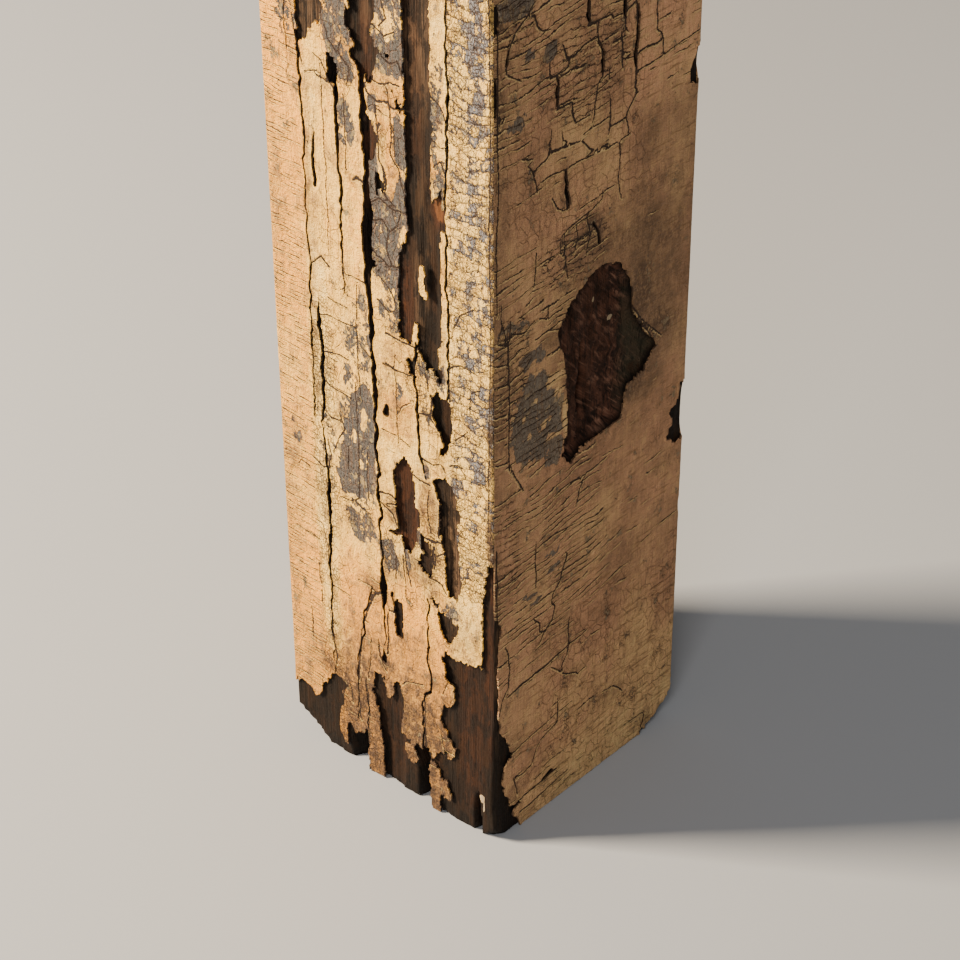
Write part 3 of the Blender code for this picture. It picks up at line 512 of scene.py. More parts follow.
# Bits of topcoat that still stand on bared primer: across, height, half width, half height and strength
TOPCOAT_LEFT = {
    "front": (
        (82, 217, 2, 6, 0.5), (88, 206, 1.2, 4, 0.4), (85, 192, 1.5, 3, 0.4), (66, 190, 3, 8, 0.9),
        (80, 176, 2, 3, 0.4), (60, 424, 3, 5, 0.4), (53, 326, 2, 5, 0.5), (67, 316, 2, 3, 0.4),
    ),
    "right": (
        (48.5, 231, 2.2, 11, 0.9), (40.5, 224.5, 5, 1.6, 0.8), (28, 249, 1.7, 1.5, 0.7),
        (42, 256, 6, 4, 0.8), (34.5, 235, 1.6, 1.5, 0.7), (24, 233, 1.6, 1.2, 0.7), (44, 248, 3, 4, 0.7),
        (20, 243, 1.2, 1.6, 0.5),
    ),
    "back": (),
    "left": (),
}

# Paint that lifts off the timber towards its free lower edge: across, height, half width, half height, lift
LIFTS = {
    "front": (
        (21, 107, 15, 17, 2.0), (24, 128, 15, 9, 1.0), (68, 52, 5, 12, 1.2), (54, 38, 9, 8, 1.2),
        (83, 6, 6, 14, 1.0), (40, 8, 5, 14, 1.2), (100, 8, 6, 14, 0.8), (40, 226, 8, 11, 0.7),
        (56, 200, 6, 6, 0.8), (126, 34, 8, 8, 0.8), (76, 322, 9, 20, 0.6), (62, 385, 8, 24, 0.6),
    ),
    "right": ((12, 60, 8, 12, 0.8), (14, 22, 8, 8, 1.0), (72, 207, 16, 5, 0.8), (47, 230, 4, 16, 0.9)),
    "back": ((58, 30, 12, 14, 1.4),),
    "left": ((66, 26, 14, 14, 1.4),),
}

# Tone of the bare timber: across, height, half width, half height and strength
WARM_WOOD = {
    "front": (
        (56, 180, 12, 36, 1.0), (53.5, 294, 5, 26, 1.0), (34, 350, 6, 14, 1.2), (3, 110, 5, 66, 0.75),
        (16, 66, 9, 60, 0.6), (47, 405, 4, 44, 0.45), (68, 30, 9, 34, 0.35), (76, 412, 4, 22, 0.7),
        (74.5, 360, 3, 50, 0.8),
    ),
    "right": (
        (46, 278, 4.5, 7, 1.5), (66, 292, 6, 4, 1.0), (78, 286, 5, 4, 0.8), (54, 225, 3, 8, 0.7),
        (102, 232, 5, 3, 0.7), (70, 262, 20, 42, 0.55), (64, 236, 14, 26, 0.5),
    ),
    "back": ((52, 340, 8, 40, 0.7),),
    "left": ((62, 255, 8, 46, 0.7),),
}
PALE_WOOD = {
    "front": (
        (44.5, 424, 9, 34, 0.42), (44, 340, 6, 30, 0.12), (44, 540, 9, 60, 0.6), (28, 165, 7, 42, 0.62),
        (108, 418, 8, 18, 0.4), (46, 300, 4, 20, 0.35), (76, 425, 3, 16, 0.4),
    ),
    "right": ((4, 100, 5, 40, 0.5),),
    "back": (),
    "left": (),
}
FLECKS = {
    "front": ((9.6, 24, 1.9, 3.4), (8.4, 18, 0.8, 3.0), (36.5, 393, 0.7, 0.9), (37, 408, 0.7, 0.9)),
    "right": ((72, 283, 1.5, 1.1), (84.5, 267, 1.9, 1.0)),
    "back": (),
    "left": (),
}


def mixed(first, second, share):
    """Between two values, by a share from 0 to 1."""
    return first + (second - first) * share


def eased(value, low, high):
    """A smooth step from 0 at low to 1 at high."""
    share = np.clip((value - low) / (high - low), 0, 1)
    return share * share * (3 - 2 * share)


def chance(column, row, seed):
    """A fixed chance value from 0 to 1 for each whole-numbered place."""
    stirred = (column * 374761393 + row * 668265263 + seed * 974634777) & 0x7FFFFFFF
    stirred = ((stirred ^ (stirred >> 13)) * 1274126177) & 0x7FFFFFFF
    return ((stirred ^ (stirred >> 16)) & 0xFFFF) / 0xFFFF


def lumps(across, height, width, tall, seed, layers=3):
    """Layered noise from about -1 to 1, with lumps of the given width and height in millimetres."""
    total = np.zeros(np.shape(across))
    strength = 1.0
    whole = 0.0
    for layer in range(layers):
        x = across / width * 2**layer + 17.3 * layer
        y = height / tall * 2**layer + 9.1 * layer
        column = np.floor(x).astype(np.int64)
        row = np.floor(y).astype(np.int64)
        x = eased(x - column, 0, 1)
        y = eased(y - row, 0, 1)
        below = mixed(chance(column, row, seed + layer), chance(column + 1, row, seed + layer), x)
        above = mixed(chance(column, row + 1, seed + layer), chance(column + 1, row + 1, seed + layer), x)
        total = total + strength * (2 * mixed(below, above, y) - 1)
        whole += strength
        strength *= 0.5
    return total / whole


def flake_centres(across, height, width, tall, seed):
    """The middle of the crackle flake that each place lies in, and the flake's chance value."""
    column = np.floor(across / width).astype(np.int64)
    row = np.floor(height / tall).astype(np.int64)
    nearest = np.full(np.shape(across), 1e9)
    middle = [np.array(across, float), np.array(height, float), np.zeros(np.shape(across))]
    for step_across in (-1, 0, 1):
        for step_up in (-1, 0, 1):
            cell = (column + step_across, row + step_up)
            x = (cell[0] + 0.15 + 0.7 * chance(*cell, seed)) * width
            y = (cell[1] + 0.15 + 0.7 * chance(*cell, seed + 1)) * tall
            apart = ((x - across) / width) ** 2 + ((y - height) / tall) ** 2
            closer = apart < nearest
            nearest = np.where(closer, apart, nearest)
            middle[0] = np.where(closer, x, middle[0])
            middle[1] = np.where(closer, y, middle[1])
            middle[2] = np.where(closer, chance(*cell, seed + 2), middle[2])
    return middle


def outline_distance(outline, across, height):
    """Millimetres from a closed outline, negative inside it."""
    nearest = np.full(np.shape(across), 1e9)
    inside = np.zeros(np.shape(across), bool)
    for (x0, y0), (x1, y1) in zip(outline, outline[1:] + outline[:1]):
        run, rise = x1 - x0, y1 - y0
        share = np.clip(((across - x0) * run + (height - y0) * rise) / (run * run + rise * rise), 0, 1)
        nearest = np.minimum(nearest, np.hypot(across - x0 - share * run, height - y0 - share * rise))
        if rise:
            passes = (y0 > height) != (y1 > height)
            inside ^= passes & (across < x0 + (height - y0) * run / rise)
    return np.where(inside, -nearest, nearest)


def crack_distance(line, across, height):
    """Millimetres from the lips of a crack that has a half width at each of its points."""
    nearest = np.full(np.shape(across), 1e9)
    for (x0, y0, w0), (x1, y1, w1) in zip(line, line[1:]):
        run, rise = x1 - x0, y1 - y0
        share = np.clip(((across - x0) * run + (height - y0) * rise) / (run * run + rise * rise), 0, 1)
        apart = np.hypot(across - x0 - share * run, height - y0 - share * rise)
        nearest = np.minimum(nearest, apart - mixed(w0, w1, share))
    return nearest


def way_to_cracks(lines, across, height):
    """From each place, the way to the nearest crack's middle, that crack's half width, and how far it is."""
    nearest = np.full(np.shape(across), 1e9)
    way = np.zeros((*np.shape(across), 3))
    for line in lines:
        for (x0, y0, w0), (x1, y1, w1) in zip(line, line[1:]):
            run, rise = x1 - x0, y1 - y0
            share = np.clip(((across - x0) * run + (height - y0) * rise) / (run * run + rise * rise), 0, 1)
            aside = x0 + share * run - across
            above = y0 + share * rise - height
            apart = np.hypot(aside, above)
            closer = apart < nearest
            nearest = np.where(closer, apart, nearest)
            found = np.stack([aside, above, mixed(w0, w1, share)], axis=-1)
            way = np.where(closer[..., None], found, way)
    return way, nearest


def blobs(places, across, height, wander, seed):
    """The strongest of several soft oval patches at each place."""
    total = np.zeros(np.shape(across))
    x_moved = across + wander * lumps(across, height, 9, 16, seed)
    y_moved = height + wander * 2 * lumps(across, height, 9, 16, seed + 40)
    for x, y, half_width, half_height, strength in places:
        apart = np.sqrt(((x_moved - x) / half_width) ** 2 + ((y_moved - y) / half_height) ** 2)
        total = np.maximum(total, strength * (1 - eased(apart, 0.55, 1.35)))
    return total


class Coat:
    """The paint on one face: its torn outline, the state of its surface, and how fine its mesh is."""

    def __init__(self, name, face, lost, scraps, cracks, drawn, span, columns, row_step, seed, tear=1.0, side=0):
        self.name = name
        self.face = face
        self.span = span
        self.side = side
        self.lost = lost
        self.scraps = scraps
        self.cracks = cracks
        self.drawn = drawn
        self.columns = columns
        self.row_step = row_step
        self.seed = seed
        self.tear = tear

    def wander(self, across, height):
        """How far the cracks stray from their drawn lines."""
        broad = 1.7 * lumps(across * 0.5, height, 5, 8, self.seed + 13)
        return broad + 1.0 * lumps(across * 0.5, height, 2.4, 3.4, self.seed + 14)

    def covered(self, across, height):
        """Like kept, but only on this piece's own side of the crack where a face's coat is split in two."""
        kept = self.kept(across, height)
        if self.side:
            wander = self.wander(across, height)
            split = np.interp(height + 0.6 * wander, SPLIT_HEIGHTS, SPLIT_ACROSS)
            kept = np.minimum(kept, self.side * (across + wander - split))
        return kept

    def kept(self, across, height):
        """Millimetres of paint between each place and the nearest torn edge, negative where it is lost."""
        x, y = flake_centres(across, height, 2.6, 3.8, self.seed)[:2]
        loose = 0.72
        x = mixed(across, x, loose) + self.tear * 1.3 * lumps(across, height, 3, 7, self.seed + 5)
        y = mixed(height, y, loose) + self.tear * 2.0 * lumps(across, height, 3.4, 5, self.seed + 9)
        field = np.full(np.shape(across), 60.0)
        for outline in self.lost:
            field = np.minimum(field, outline_distance(outline, x, y))
        for outline in self.scraps:
            field = np.maximum(field, -outline_distance(outline, x, y))
        wander = self.wander(across, height)
        for line in self.cracks:
            field = np.minimum(field, crack_distance(line, across + wander, height + 0.6 * wander))
        return field


# The line where the front's two pieces of paint meet
SPLIT_HEIGHTS = (
    # The line where the front's two pieces of paint meet
    -9,
    # The line where the front's two pieces of paint meet
    40,
    # The line where the front's two pieces of paint meet
    60,
    # The line where the front's two pieces of paint meet
    68,
    # The line where the front's two pieces of paint meet
    79,
    # The line where the front's two pieces of paint meet
    88,
    # The line where the front's two pieces of paint meet
    108,
    # The line where the front's two pieces of paint meet
    140,
    # The line where the front's two pieces of paint meet
    165,
    # The line where the front's two pieces of paint meet
    215,
    # The line where the front's two pieces of paint meet
    275,
    # The line where the front's two pieces of paint meet
    300,
    # The line where the front's two pieces of paint meet
    322,
    # The line where the front's two pieces of paint meet
    345,
    # The line where the front's two pieces of paint meet
    400,
    # The line where the front's two pieces of paint meet
    470,
    # The line where the front's two pieces of paint meet
    500,
    # The line where the front's two pieces of paint meet
    600,
    # The line where the front's two pieces of paint meet
    760,
    # The line where the front's two pieces of paint meet
    900,
    # The line where the front's two pieces of paint meet
    1009,
)
SPLIT_ACROSS = (
    70, 72, 75.5, 74.5, 73, 73, 72, 72.5, 73, 74, 75, 76, 75.5, 75, 77, 76, 78, 79, 76, 78, 77,
)

FRONT = ("front", FRONT_LOST, FRONT_SCRAPS, FRONT_CRACKS, FRONT_HAIRS)
ALL_ACROSS = (0, SECTION)
COATS = (Coat("paint_front_near", *FRONT, (0, 83), 119, 1.5, 11, side=-1),
    Coat("paint_front_far", *FRONT, (68, SECTION), 103, 1.5, 11, side=1),
    Coat("paint_right", "right", RIGHT_LOST, RIGHT_SCRAPS, RIGHT_GAPS, RIGHT_CRACKS, ALL_ACROSS, 136,
    1.8, 23, tear=0.7), Coat("paint_back", "back", BACK_LOST, (), BACK_CRACKS, (), ALL_ACROSS, 90, 4.5,
    37), Coat("paint_left", "left", LEFT_LOST, (), LEFT_CRACKS, (), ALL_ACROSS, 90, 4.5, 53))
SHOWN_FACES = ("front", "right")
COAT_BY_FACE = {coat.face: coat for coat in COATS}


def wrapped(face, across, depth):
    """World x and y of places on a face, at a depth under its surface, rounded over at the arrises."""
    way_across, outward = FACES[face]
    start = (outward - way_across) * (SECTION / 2)
    from_far = across > SECTION / 2
    inset = np.minimum(np.where(from_far, SECTION - across, across), ARRIS_RADIUS)
    angle = (1 - inset / ARRIS_RADIUS) * math.pi / 4
    along = np.where(from_far, SECTION - across, across)
    along = np.where(along < ARRIS_RADIUS, ARRIS_RADIUS - ARRIS_RADIUS * np.sin(angle), along)
    out = -ARRIS_RADIUS + ARRIS_RADIUS * np.cos(angle)
    along = along + depth * np.sin(angle)
    out = out - depth * np.cos(angle)
    along = np.where(from_far, SECTION - along, along)
    x = start.x + way_across.x * along + outward.x * out
    y = start.y + way_across.y * along + outward.y * out
    return x, y


def worn(x, y, height):
    """Push in what stands outside the chips of the arrises and the slanting worn corners of the foot."""
    for (sign_x, sign_y), (run, rise) in WORN_CORNERS.items():
        cut = run * np.clip(1 - height / rise, 0, None)
        for low, high, reach in CHIPS[sign_x, sign_y]:
            along = (height - (low + high) / 2) / ((high - low) / 2)
            cut = np.maximum(cut, 1.5 * reach * np.sqrt(np.clip(1 - along**2, 0, None)))
        cut = cut * (1 + 0.22 * lumps(x - y, height, 5, 7, 71))
        short = np.clip(cut - (SECTION / 2 - sign_x * x) - (SECTION / 2 - sign_y * y), 0, None) / 2
        x = x - sign_x * short
        y = y - sign_y * short
    return x, y


def row_heights(step, upper_step):
    """Heights of the mesh rows: close together where the photo shows the post, wider above."""
    low = np.linspace(0, SHOWN_HEIGHT, round(SHOWN_HEIGHT / step) + 1)
    high = np.linspace(SHOWN_HEIGHT, LENGTH, round((LENGTH - SHOWN_HEIGHT) / upper_step) + 1)
    return np.concatenate((low, high[1:]))


def timber_depth(face, across, height, coat_thickness):
    """How far the bare timber lies under the face's plane, in millimetres."""
    seed = COAT_BY_FACE[face].seed
    depth = coat_thickness + 0.25 + 0.12 * lumps(across, height, 1.6, 60, seed + 60)
    bare = 1 - eased(COAT_BY_FACE[face].kept(across, height), -1.5, 0.5)
    depth = depth + bare * (0.35 + 0.30 * lumps(across, height, 2.2, 70, seed + 61))
    decay = np.zeros(np.shape(across))
    for x, low, high, width, deep in HOLLOWS[face]:
        along = (height - (low + high) / 2) / ((high - low) / 2)
        aside = (across - x) / (width / 2)
        bowl = np.clip(1 - along**2 - aside**2, 0, None)
        decay = np.maximum(decay, deep * np.sqrt(bowl) * 0.6)
    depth = depth + decay + eased(decay, 0.2, 2) * 0.9 * lumps(across, height, 2.0, 40, seed + 62)
    if face == "right":
        x = across + 1.2 * lumps(across, height, 5, 9, seed + 63)
        sunk = eased(-outline_distance(SCAR, x, height), 0, SCAR_SLOPE)
        slant = height + 0.9 * across
        rough = 1.7 * lumps(across, height, 3.5, 14, seed + 64)
        rough = rough + 2.2 * lumps(slant, height, 7, 60, seed + 65) * eased(across, 66, 84)
        shallow = 1.8 * eased(across, 92, 106)
        depth = depth + sunk * (SCAR_DEPTH - 1.0 - shallow + rough)
    cleft = np.zeros(np.shape(across))
    wander = CHECK_WANDER * lumps(across * 0, height, 10, 34, seed + 66)
    for x, low, high, width, deep in CHECKS[face]:
        along = (height - (low + high) / 2) / ((high - low) / 2)
        taper = np.sqrt(np.clip(1 - along**2, 0, None))
        aside = np.abs(across + wander - x) / np.maximum(width / 2 * taper, 0.01)
        cleft = np.maximum(cleft, deep * taper * np.clip(1 - aside, 0, 1))
    return depth + cleft


def select_only(piece):
    """Make a piece the one selected and active object."""
    bpy.ops.object.select_all(action="DESELECT")
    piece.select_set(True)
    bpy.context.view_layer.objects.active = piece


def grid_sheet(name, columns, rows):
    """A flat grid with the given columns and rows of corners, in order row by row."""
    bpy.ops.object.select_all(action="DESELECT")
    bpy.ops.mesh.primitive_grid_add(x_subdivisions=columns - 1, y_subdivisions=rows - 1, size=1.0)
    piece = bpy.context.active_object
    piece.name = name
    piece.data.name = name
    return piece


def places(mesh_data):
    """The corners of a mesh, one row each."""
    corners = np.empty(len(mesh_data.vertices) * 3)
    mesh_data.vertices.foreach_get("co", corners)
    return corners.reshape(-1, 3)


def move_to(mesh_data, corners):
    """Put the corners of a mesh at new places."""
    mesh_data.vertices.foreach_set("co", np.asarray(corners, np.float32).ravel())
    mesh_data.update()


def mark(mesh_data, name, values):
    """Keep a value at each corner for the material to read."""
    kind = "FLOAT_VECTOR" if np.ndim(values) == 2 else "FLOAT"
    field = "vector" if kind == "FLOAT_VECTOR" else "value"
    layer = mesh_data.attributes.new(name, kind, "POINT")
    layer.data.foreach_set(field, np.asarray(values, np.float32).ravel())


def cut_along_zero(shape, value):
    """Run an edge along the line where a corner value passes zero, splitting the faces it crosses."""
    def crossing():
        return [edge for edge in shape.edges if (edge.verts[0][value] < 0) != (edge.verts[1][value] < 0)]

    crossed = {face for edge in crossing() for face in edge.link_faces}
    bmesh.ops.triangulate(shape, faces=list(crossed))
    fresh = set()
    for edge in crossing():
        first, second = edge.verts
        share = first[value] / (first[value] - second[value])
        share = min(max(share, 0.06), 0.94)
        corner = bmesh.utils.edge_split(edge, first, share)[1]
        corner[value] = 0.0
        fresh.add(corner)
    for face in [face for face in shape.faces if len(face.verts) == 5]:
        ends = [corner for corner in face.verts if corner in fresh]
        if len(ends) == 2:
            bmesh.utils.face_split(face, ends[0], ends[1])


def tear_open(piece, coat):
    """Cut the flat coat along its torn outline and drop the paint that is lost."""
    shape = bmesh.new()
    shape.from_mesh(piece.data)
    corners = np.array([corner.co[:] for corner in shape.verts])
    value = shape.verts.layers.float.new("kept")
    for corner, kept in zip(shape.verts, coat.covered(corners[:, 0], corners[:, 1])):
        corner[value] = kept
    cut_along_zero(shape, value)
    lost = [face for face in shape.faces if sum(corner[value] for corner in face.verts) < 0]
    bmesh.ops.delete(shape, geom=lost, context="FACES")
    shape.verts.layers.float.remove(value)
    shape.to_mesh(piece.data)
    shape.free()


def finish_piece(piece, materials):
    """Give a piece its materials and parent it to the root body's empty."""
    for material in materials:
        piece.data.materials.append(material)
    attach(piece, BODY)


# Shader building

class Value:
    """An output of a node, so that sums of outputs and numbers can be written as plain sums."""

    def __init__(self, socket):
        self.socket = socket
        self.tree = socket.id_data

    def __add__(self, other):
        return calc("ADD", self, other)

    def __sub__(self, other):
        return calc("SUBTRACT", self, other)

    def __rsub__(self, other):
        return calc("SUBTRACT", other, self)

    def __mul__(self, other):
        return calc("MULTIPLY", self, other)

    def __truediv__(self, other):
        return calc("DIVIDE", self, other)

    __radd__ = __add__
    __rmul__ = __mul__


def plug(socket, value):
    """Link a value into a socket, or set a plain number, vector or colour on it."""
    if isinstance(value, Value):
        value.tree.links.new(value.socket, socket)
    else:
        socket.default_value = value


def calc(operation, *values, clamp=False):
    """A Math node's result."""
    tree = next(value.tree for value in values if isinstance(value, Value))
    node = tree.nodes.new("ShaderNodeMath")
    node.operation = operation
    node.use_clamp = clamp
    for socket, value in zip(node.inputs, values):
        plug(socket, value)
    return Value(node.outputs[0])


def stepped(value, low, high, to_low=0.0, to_high=1.0):
    """A smooth step between two values."""
    node = value.tree.nodes.new("ShaderNodeMapRange")
    node.interpolation_type = "SMOOTHSTEP"
    for name, number in (("Value", value), ("From Min", low), ("From Max", high),
                         ("To Min", to_low), ("To Max", to_high)):
        plug(node.inputs[name], number)
    return Value(node.outputs["Result"])


# The Mix node's colour sockets, whose names it also gives to others
MIX_FIRST = 6
MIX_SECOND = 7
MIX_RESULT = 2


def blended(share, first, second):
    """Two colours mixed by a share."""
    node = share.tree.nodes.new("ShaderNodeMix")
    node.data_type = "RGBA"
    plug(node.inputs["Factor"], share)
    plug(node.inputs[MIX_FIRST], first)
    plug(node.inputs[MIX_SECOND], second)
    return Value(node.outputs[MIX_RESULT])


def vector_sum(operation, first, second):
    """A Vector Math node's result."""
    node = first.tree.nodes.new("ShaderNodeVectorMath")
    node.operation = operation
    plug(node.inputs[0], first)
    plug(node.inputs["Scale" if operation == "SCALE" else 1], second)
    return Value(node.outputs[0])


def joined(x, y):
    """A vector from two values."""
    node = x.tree.nodes.new("ShaderNodeCombineXYZ")
    plug(node.inputs[0], x)
    plug(node.inputs[1], y)
    return Value(node.outputs[0])


def scaled(vector, scale, turn=0.0, shift=(0, 0, 0)):
    """A vector scaled, and turned about the face's outward way."""
    node = vector.tree.nodes.new("ShaderNodeMapping")
    node.vector_type = "POINT"
    plug(node.inputs["Vector"], vector)
    plug(node.inputs["Location"], shift)
    plug(node.inputs["Rotation"], (0, 0, turn))
    plug(node.inputs["Scale"], scale)
    return Value(node.outputs["Vector"])


def parts(vector):
    """A vector's three parts."""
    node = vector.tree.nodes.new("ShaderNodeSeparateXYZ")
    plug(node.inputs[0], vector)
    return [Value(output) for output in node.outputs]


def clouds(vector, detail, roughness, distortion=0.0, colour=False):
    """A Noise texture's value or colour, with lumps one unit across."""
    node = vector.tree.nodes.new("ShaderNodeTexNoise")
    plug(node.inputs["Vector"], vector)
    node.inputs["Scale"].default_value = 1.0
    node.inputs["Detail"].default_value = detail
    node.inputs["Roughness"].default_value = roughness
    node.inputs["Distortion"].default_value = distortion
    return Value(node.outputs["Color" if colour else "Fac"])


def marked(tree, name, vector=False):
    """A value that the mesh keeps at its corners."""
    node = tree.nodes.new("ShaderNodeAttribute")
    node.attribute_name = name
    return Value(node.outputs["Vector" if vector else "Fac"])


def new_group(name, inputs, outputs):
    """A node group with float or vector sockets: its tree, the values given to it and its results."""
    tree = bpy.data.node_groups.new(name, "ShaderNodeTree")
    for label, kind in inputs:
        tree.interface.new_socket(label, in_out="INPUT", socket_type=kind)
    for label, kind in outputs:
        tree.interface.new_socket(label, in_out="OUTPUT", socket_type=kind)
    entry = tree.nodes.new("NodeGroupInput")
    result = tree.nodes.new("NodeGroupOutput")
    return tree, {output.name: Value(output) for output in entry.outputs if output.name}, result.inputs


def use_group(tree, group, **values):
    """Place a group in a material with its own values, and return its outputs."""
    node = tree.nodes.new("ShaderNodeGroup")
    node.node_tree = group
    for name, value in values.items():
        plug(node.inputs[name], value)
    return {output.name: Value(output) for output in node.outputs}


FLOAT = "NodeSocketFloat"
VECTOR = "NodeSocketVector"


def crackle_group():
    """Crackled paint: distance to the nearest crack and a chance value for each flake."""
    tree, given, result = new_group("crackle", (("Place", VECTOR), ("Scale", VECTOR), ("Warp", FLOAT)),
        (("Gap", FLOAT), ("Flake", FLOAT)))
    bend = clouds(scaled(given["Place"], (0.35, 0.25, 1.0)), 2.0, 0.6, colour=True)
    reach = vector_sum("SCALE", vector_sum("SUBTRACT", bend, (0.5, 0.5, 0.5)), given["Warp"])
    sized = vector_sum("MULTIPLY", vector_sum("ADD", given["Place"], reach), given["Scale"])
    for feature, output, name in (("DISTANCE_TO_EDGE", "Distance", "Gap"), ("F1", "Color", "Flake")):
        cells = tree.nodes.new("ShaderNodeTexVoronoi")
        cells.voronoi_dimensions = "2D"
        cells.feature = feature
        cells.inputs["Scale"].default_value = 1.0
        cells.inputs["Randomness"].default_value = 0.85
        plug(cells.inputs["Vector"], sized)
        value = Value(cells.outputs[output])
        if name == "Flake":
            value = parts(value)[0]
        plug(result[name], value)
    return tree


def line_group():
    """Near-level hair cracks at an even pitch: 1 in a crack and 0 beside it."""
    tree, given, result = new_group("level_cracks",
        (("Place", VECTOR), ("Pitch", FLOAT), ("Slope", FLOAT), ("Width", FLOAT), ("Run", FLOAT),
        ("Cover", FLOAT)), (("Line", FLOAT), ("Lip", FLOAT)))
    axes = parts(given["Place"])
    sway = clouds(scaled(given["Place"], (0.03, 0.045, 1.0)), 2.0, 0.5)
    shake = clouds(scaled(given["Place"], (0.5, 0.5, 1.0)), 2.0, 0.5)
    rise = axes[1] - axes[0] * given["Slope"]
    turn = rise / given["Pitch"]
    turn += sway * 3.4
    turn += shake * 0.45
    jag = clouds(scaled(given["Place"], (1.1, 1.1, 1.0), shift=(3, 7, 0)), 2.0, 0.7)
    turn += jag * 0.34
    nearest = calc("ROUND", turn)
    above = (nearest - turn) * given["Pitch"]
    apart = calc("ABSOLUTE", above)
    along = joined(axes[0] * given["Run"], nearest * 3.71)
    gate = clouds(along, 2.0, 0.5)
    least = 0.74 - given["Cover"] * 0.46
    there = stepped(gate, least, least + 0.07)
    swell = clouds(scaled(along, (2.6, 1.0, 1.0), shift=(4, 0.5, 0)), 2.0, 0.6)
    wide = given["Width"] * stepped(swell, 0.3, 0.75, 0.0, 1.7)
    wide *= there
    line = 1.0 - stepped(apart, wide, wide + 0.14)
    there *= stepped(swell, 0.25, 0.6, 0.25, 1.0)
    plug(result["Line"], line * there)
    plug(result["Lip"], lip_below(above, wide) * there)
    return tree


def lip_below(above, half_width):
    """A band just under a crack: 1 on its lower lip, from how far above the crack's middle lies."""
    start = stepped(above, half_width + 0.08, half_width + 0.22)
    end = stepped(above, half_width + 0.5, half_width + 1.0)
    return start * (1.0 - end)


def flake_row_group():
    """Rows of flakes like worn brickwork: millimetres to the nearest joint, and a chance value for each."""
    tree, given, result = new_group("flake_rows",
        (("Place", VECTOR), ("Pitch", FLOAT), ("Length", FLOAT)), (("Gap", FLOAT), ("Luck", FLOAT)))
    sway = clouds(scaled(given["Place"], (0.045, 0.035, 1.0)), 2.0, 0.5)
    shake = clouds(scaled(given["Place"], (0.42, 0.42, 1.0)), 3.0, 0.6)
    side = clouds(scaled(given["Place"], (0.36, 0.3, 1.0), shift=(11, 5, 0)), 3.0, 0.6)
    axes = parts(given["Place"])
    turn = axes[1] / given["Pitch"] + sway * 3.0
    turn += shake * 0.9
    row = calc("FLOOR", turn)
    place = axes[0] / given["Length"] + row * 0.37
    place += side * 1.3
    brick = calc("FLOOR", place)
    gaps = []
    for value, whole, length in ((turn, row, given["Pitch"]), (place, brick, given["Length"])):
        off_middle = calc("ABSOLUTE", value - whole - 0.5)
        gaps.append((0.5 - off_middle) * length)
    plug(result["Gap"], calc("MINIMUM", gaps[0], gaps[1] * 1.5))
    dice = tree.nodes.new("ShaderNodeTexWhiteNoise")
    dice.noise_dimensions = "2D"
    plug(dice.inputs["Vector"], joined(brick, row))
    plug(result["Luck"], Value(dice.outputs["Value"]))
    return tree


def crack_group():
    """The mapped cracks: 1 in a crack and 0 beside it, ragged along its edges."""
    tree, given, result = new_group("mapped_cracks",
        (("Place", VECTOR), ("Way", VECTOR), ("Apart", FLOAT)), (("Line", FLOAT), ("Lip", FLOAT)))
    axes = parts(given["Way"])
    shake = clouds(scaled(given["Place"], (0.6, 0.6, 1.0)), 4.0, 0.7, colour=True)
    moves = parts(shake)
    aside = axes[0] + (moves[0] - 0.5) * 2.0
    above = axes[1] + (moves[1] - 0.5) * 2.0
    apart = calc("SQRT", calc("POWER", aside, 2.0) + calc("POWER", above, 2.0))
    wide = axes[2] * (0.22 + moves[2])
    line = 1.0 - stepped(apart, wide, wide + 0.18)
    near = 1.0 - stepped(given["Apart"], 1.8, 2.2)
    plug(result["Line"], line * near)
    lower = lip_below(apart, wide) * stepped(above, 0.0, 0.5)
    plug(result["Lip"], lower * near)
    return tree


def grain_group():
    """Wood grain along the post: fine streaks and broad bands from 0 to 1."""
    tree, given, result = new_group("grain", (("Place", VECTOR),), (("Fine", FLOAT), ("Broad", FLOAT)))
    fine = clouds(scaled(given["Place"], (1.6, 0.035, 1.0)), 4.0, 0.62)
    broad = clouds(scaled(given["Place"], (0.22, 0.01, 1.0)), 3.0, 0.55, 0.4)
    plug(result["Fine"], fine)
    plug(result["Broad"], broad)
    return tree


def new_material(name):
    """A node material, its tree and its shader."""
    material = bpy.data.materials.new(name)
    material.use_nodes = True
    tree = material.node_tree
    return material, tree, tree.nodes["Principled BSDF"]


def raise_surface(shader, height, distance):
    """Feed a height in millimetres through a Bump node into the shader."""
    bump = height.tree.nodes.new("ShaderNodeBump")
    bump.inputs["Distance"].default_value = distance
    plug(bump.inputs["Height"], height)
    plug(shader.inputs["Normal"], Value(bump.outputs["Normal"]))


def highest(*values):
    """The greatest of several values."""
    total = values[0]
    for value in values[1:]:
        total = calc("MAXIMUM", total, value)
    return total


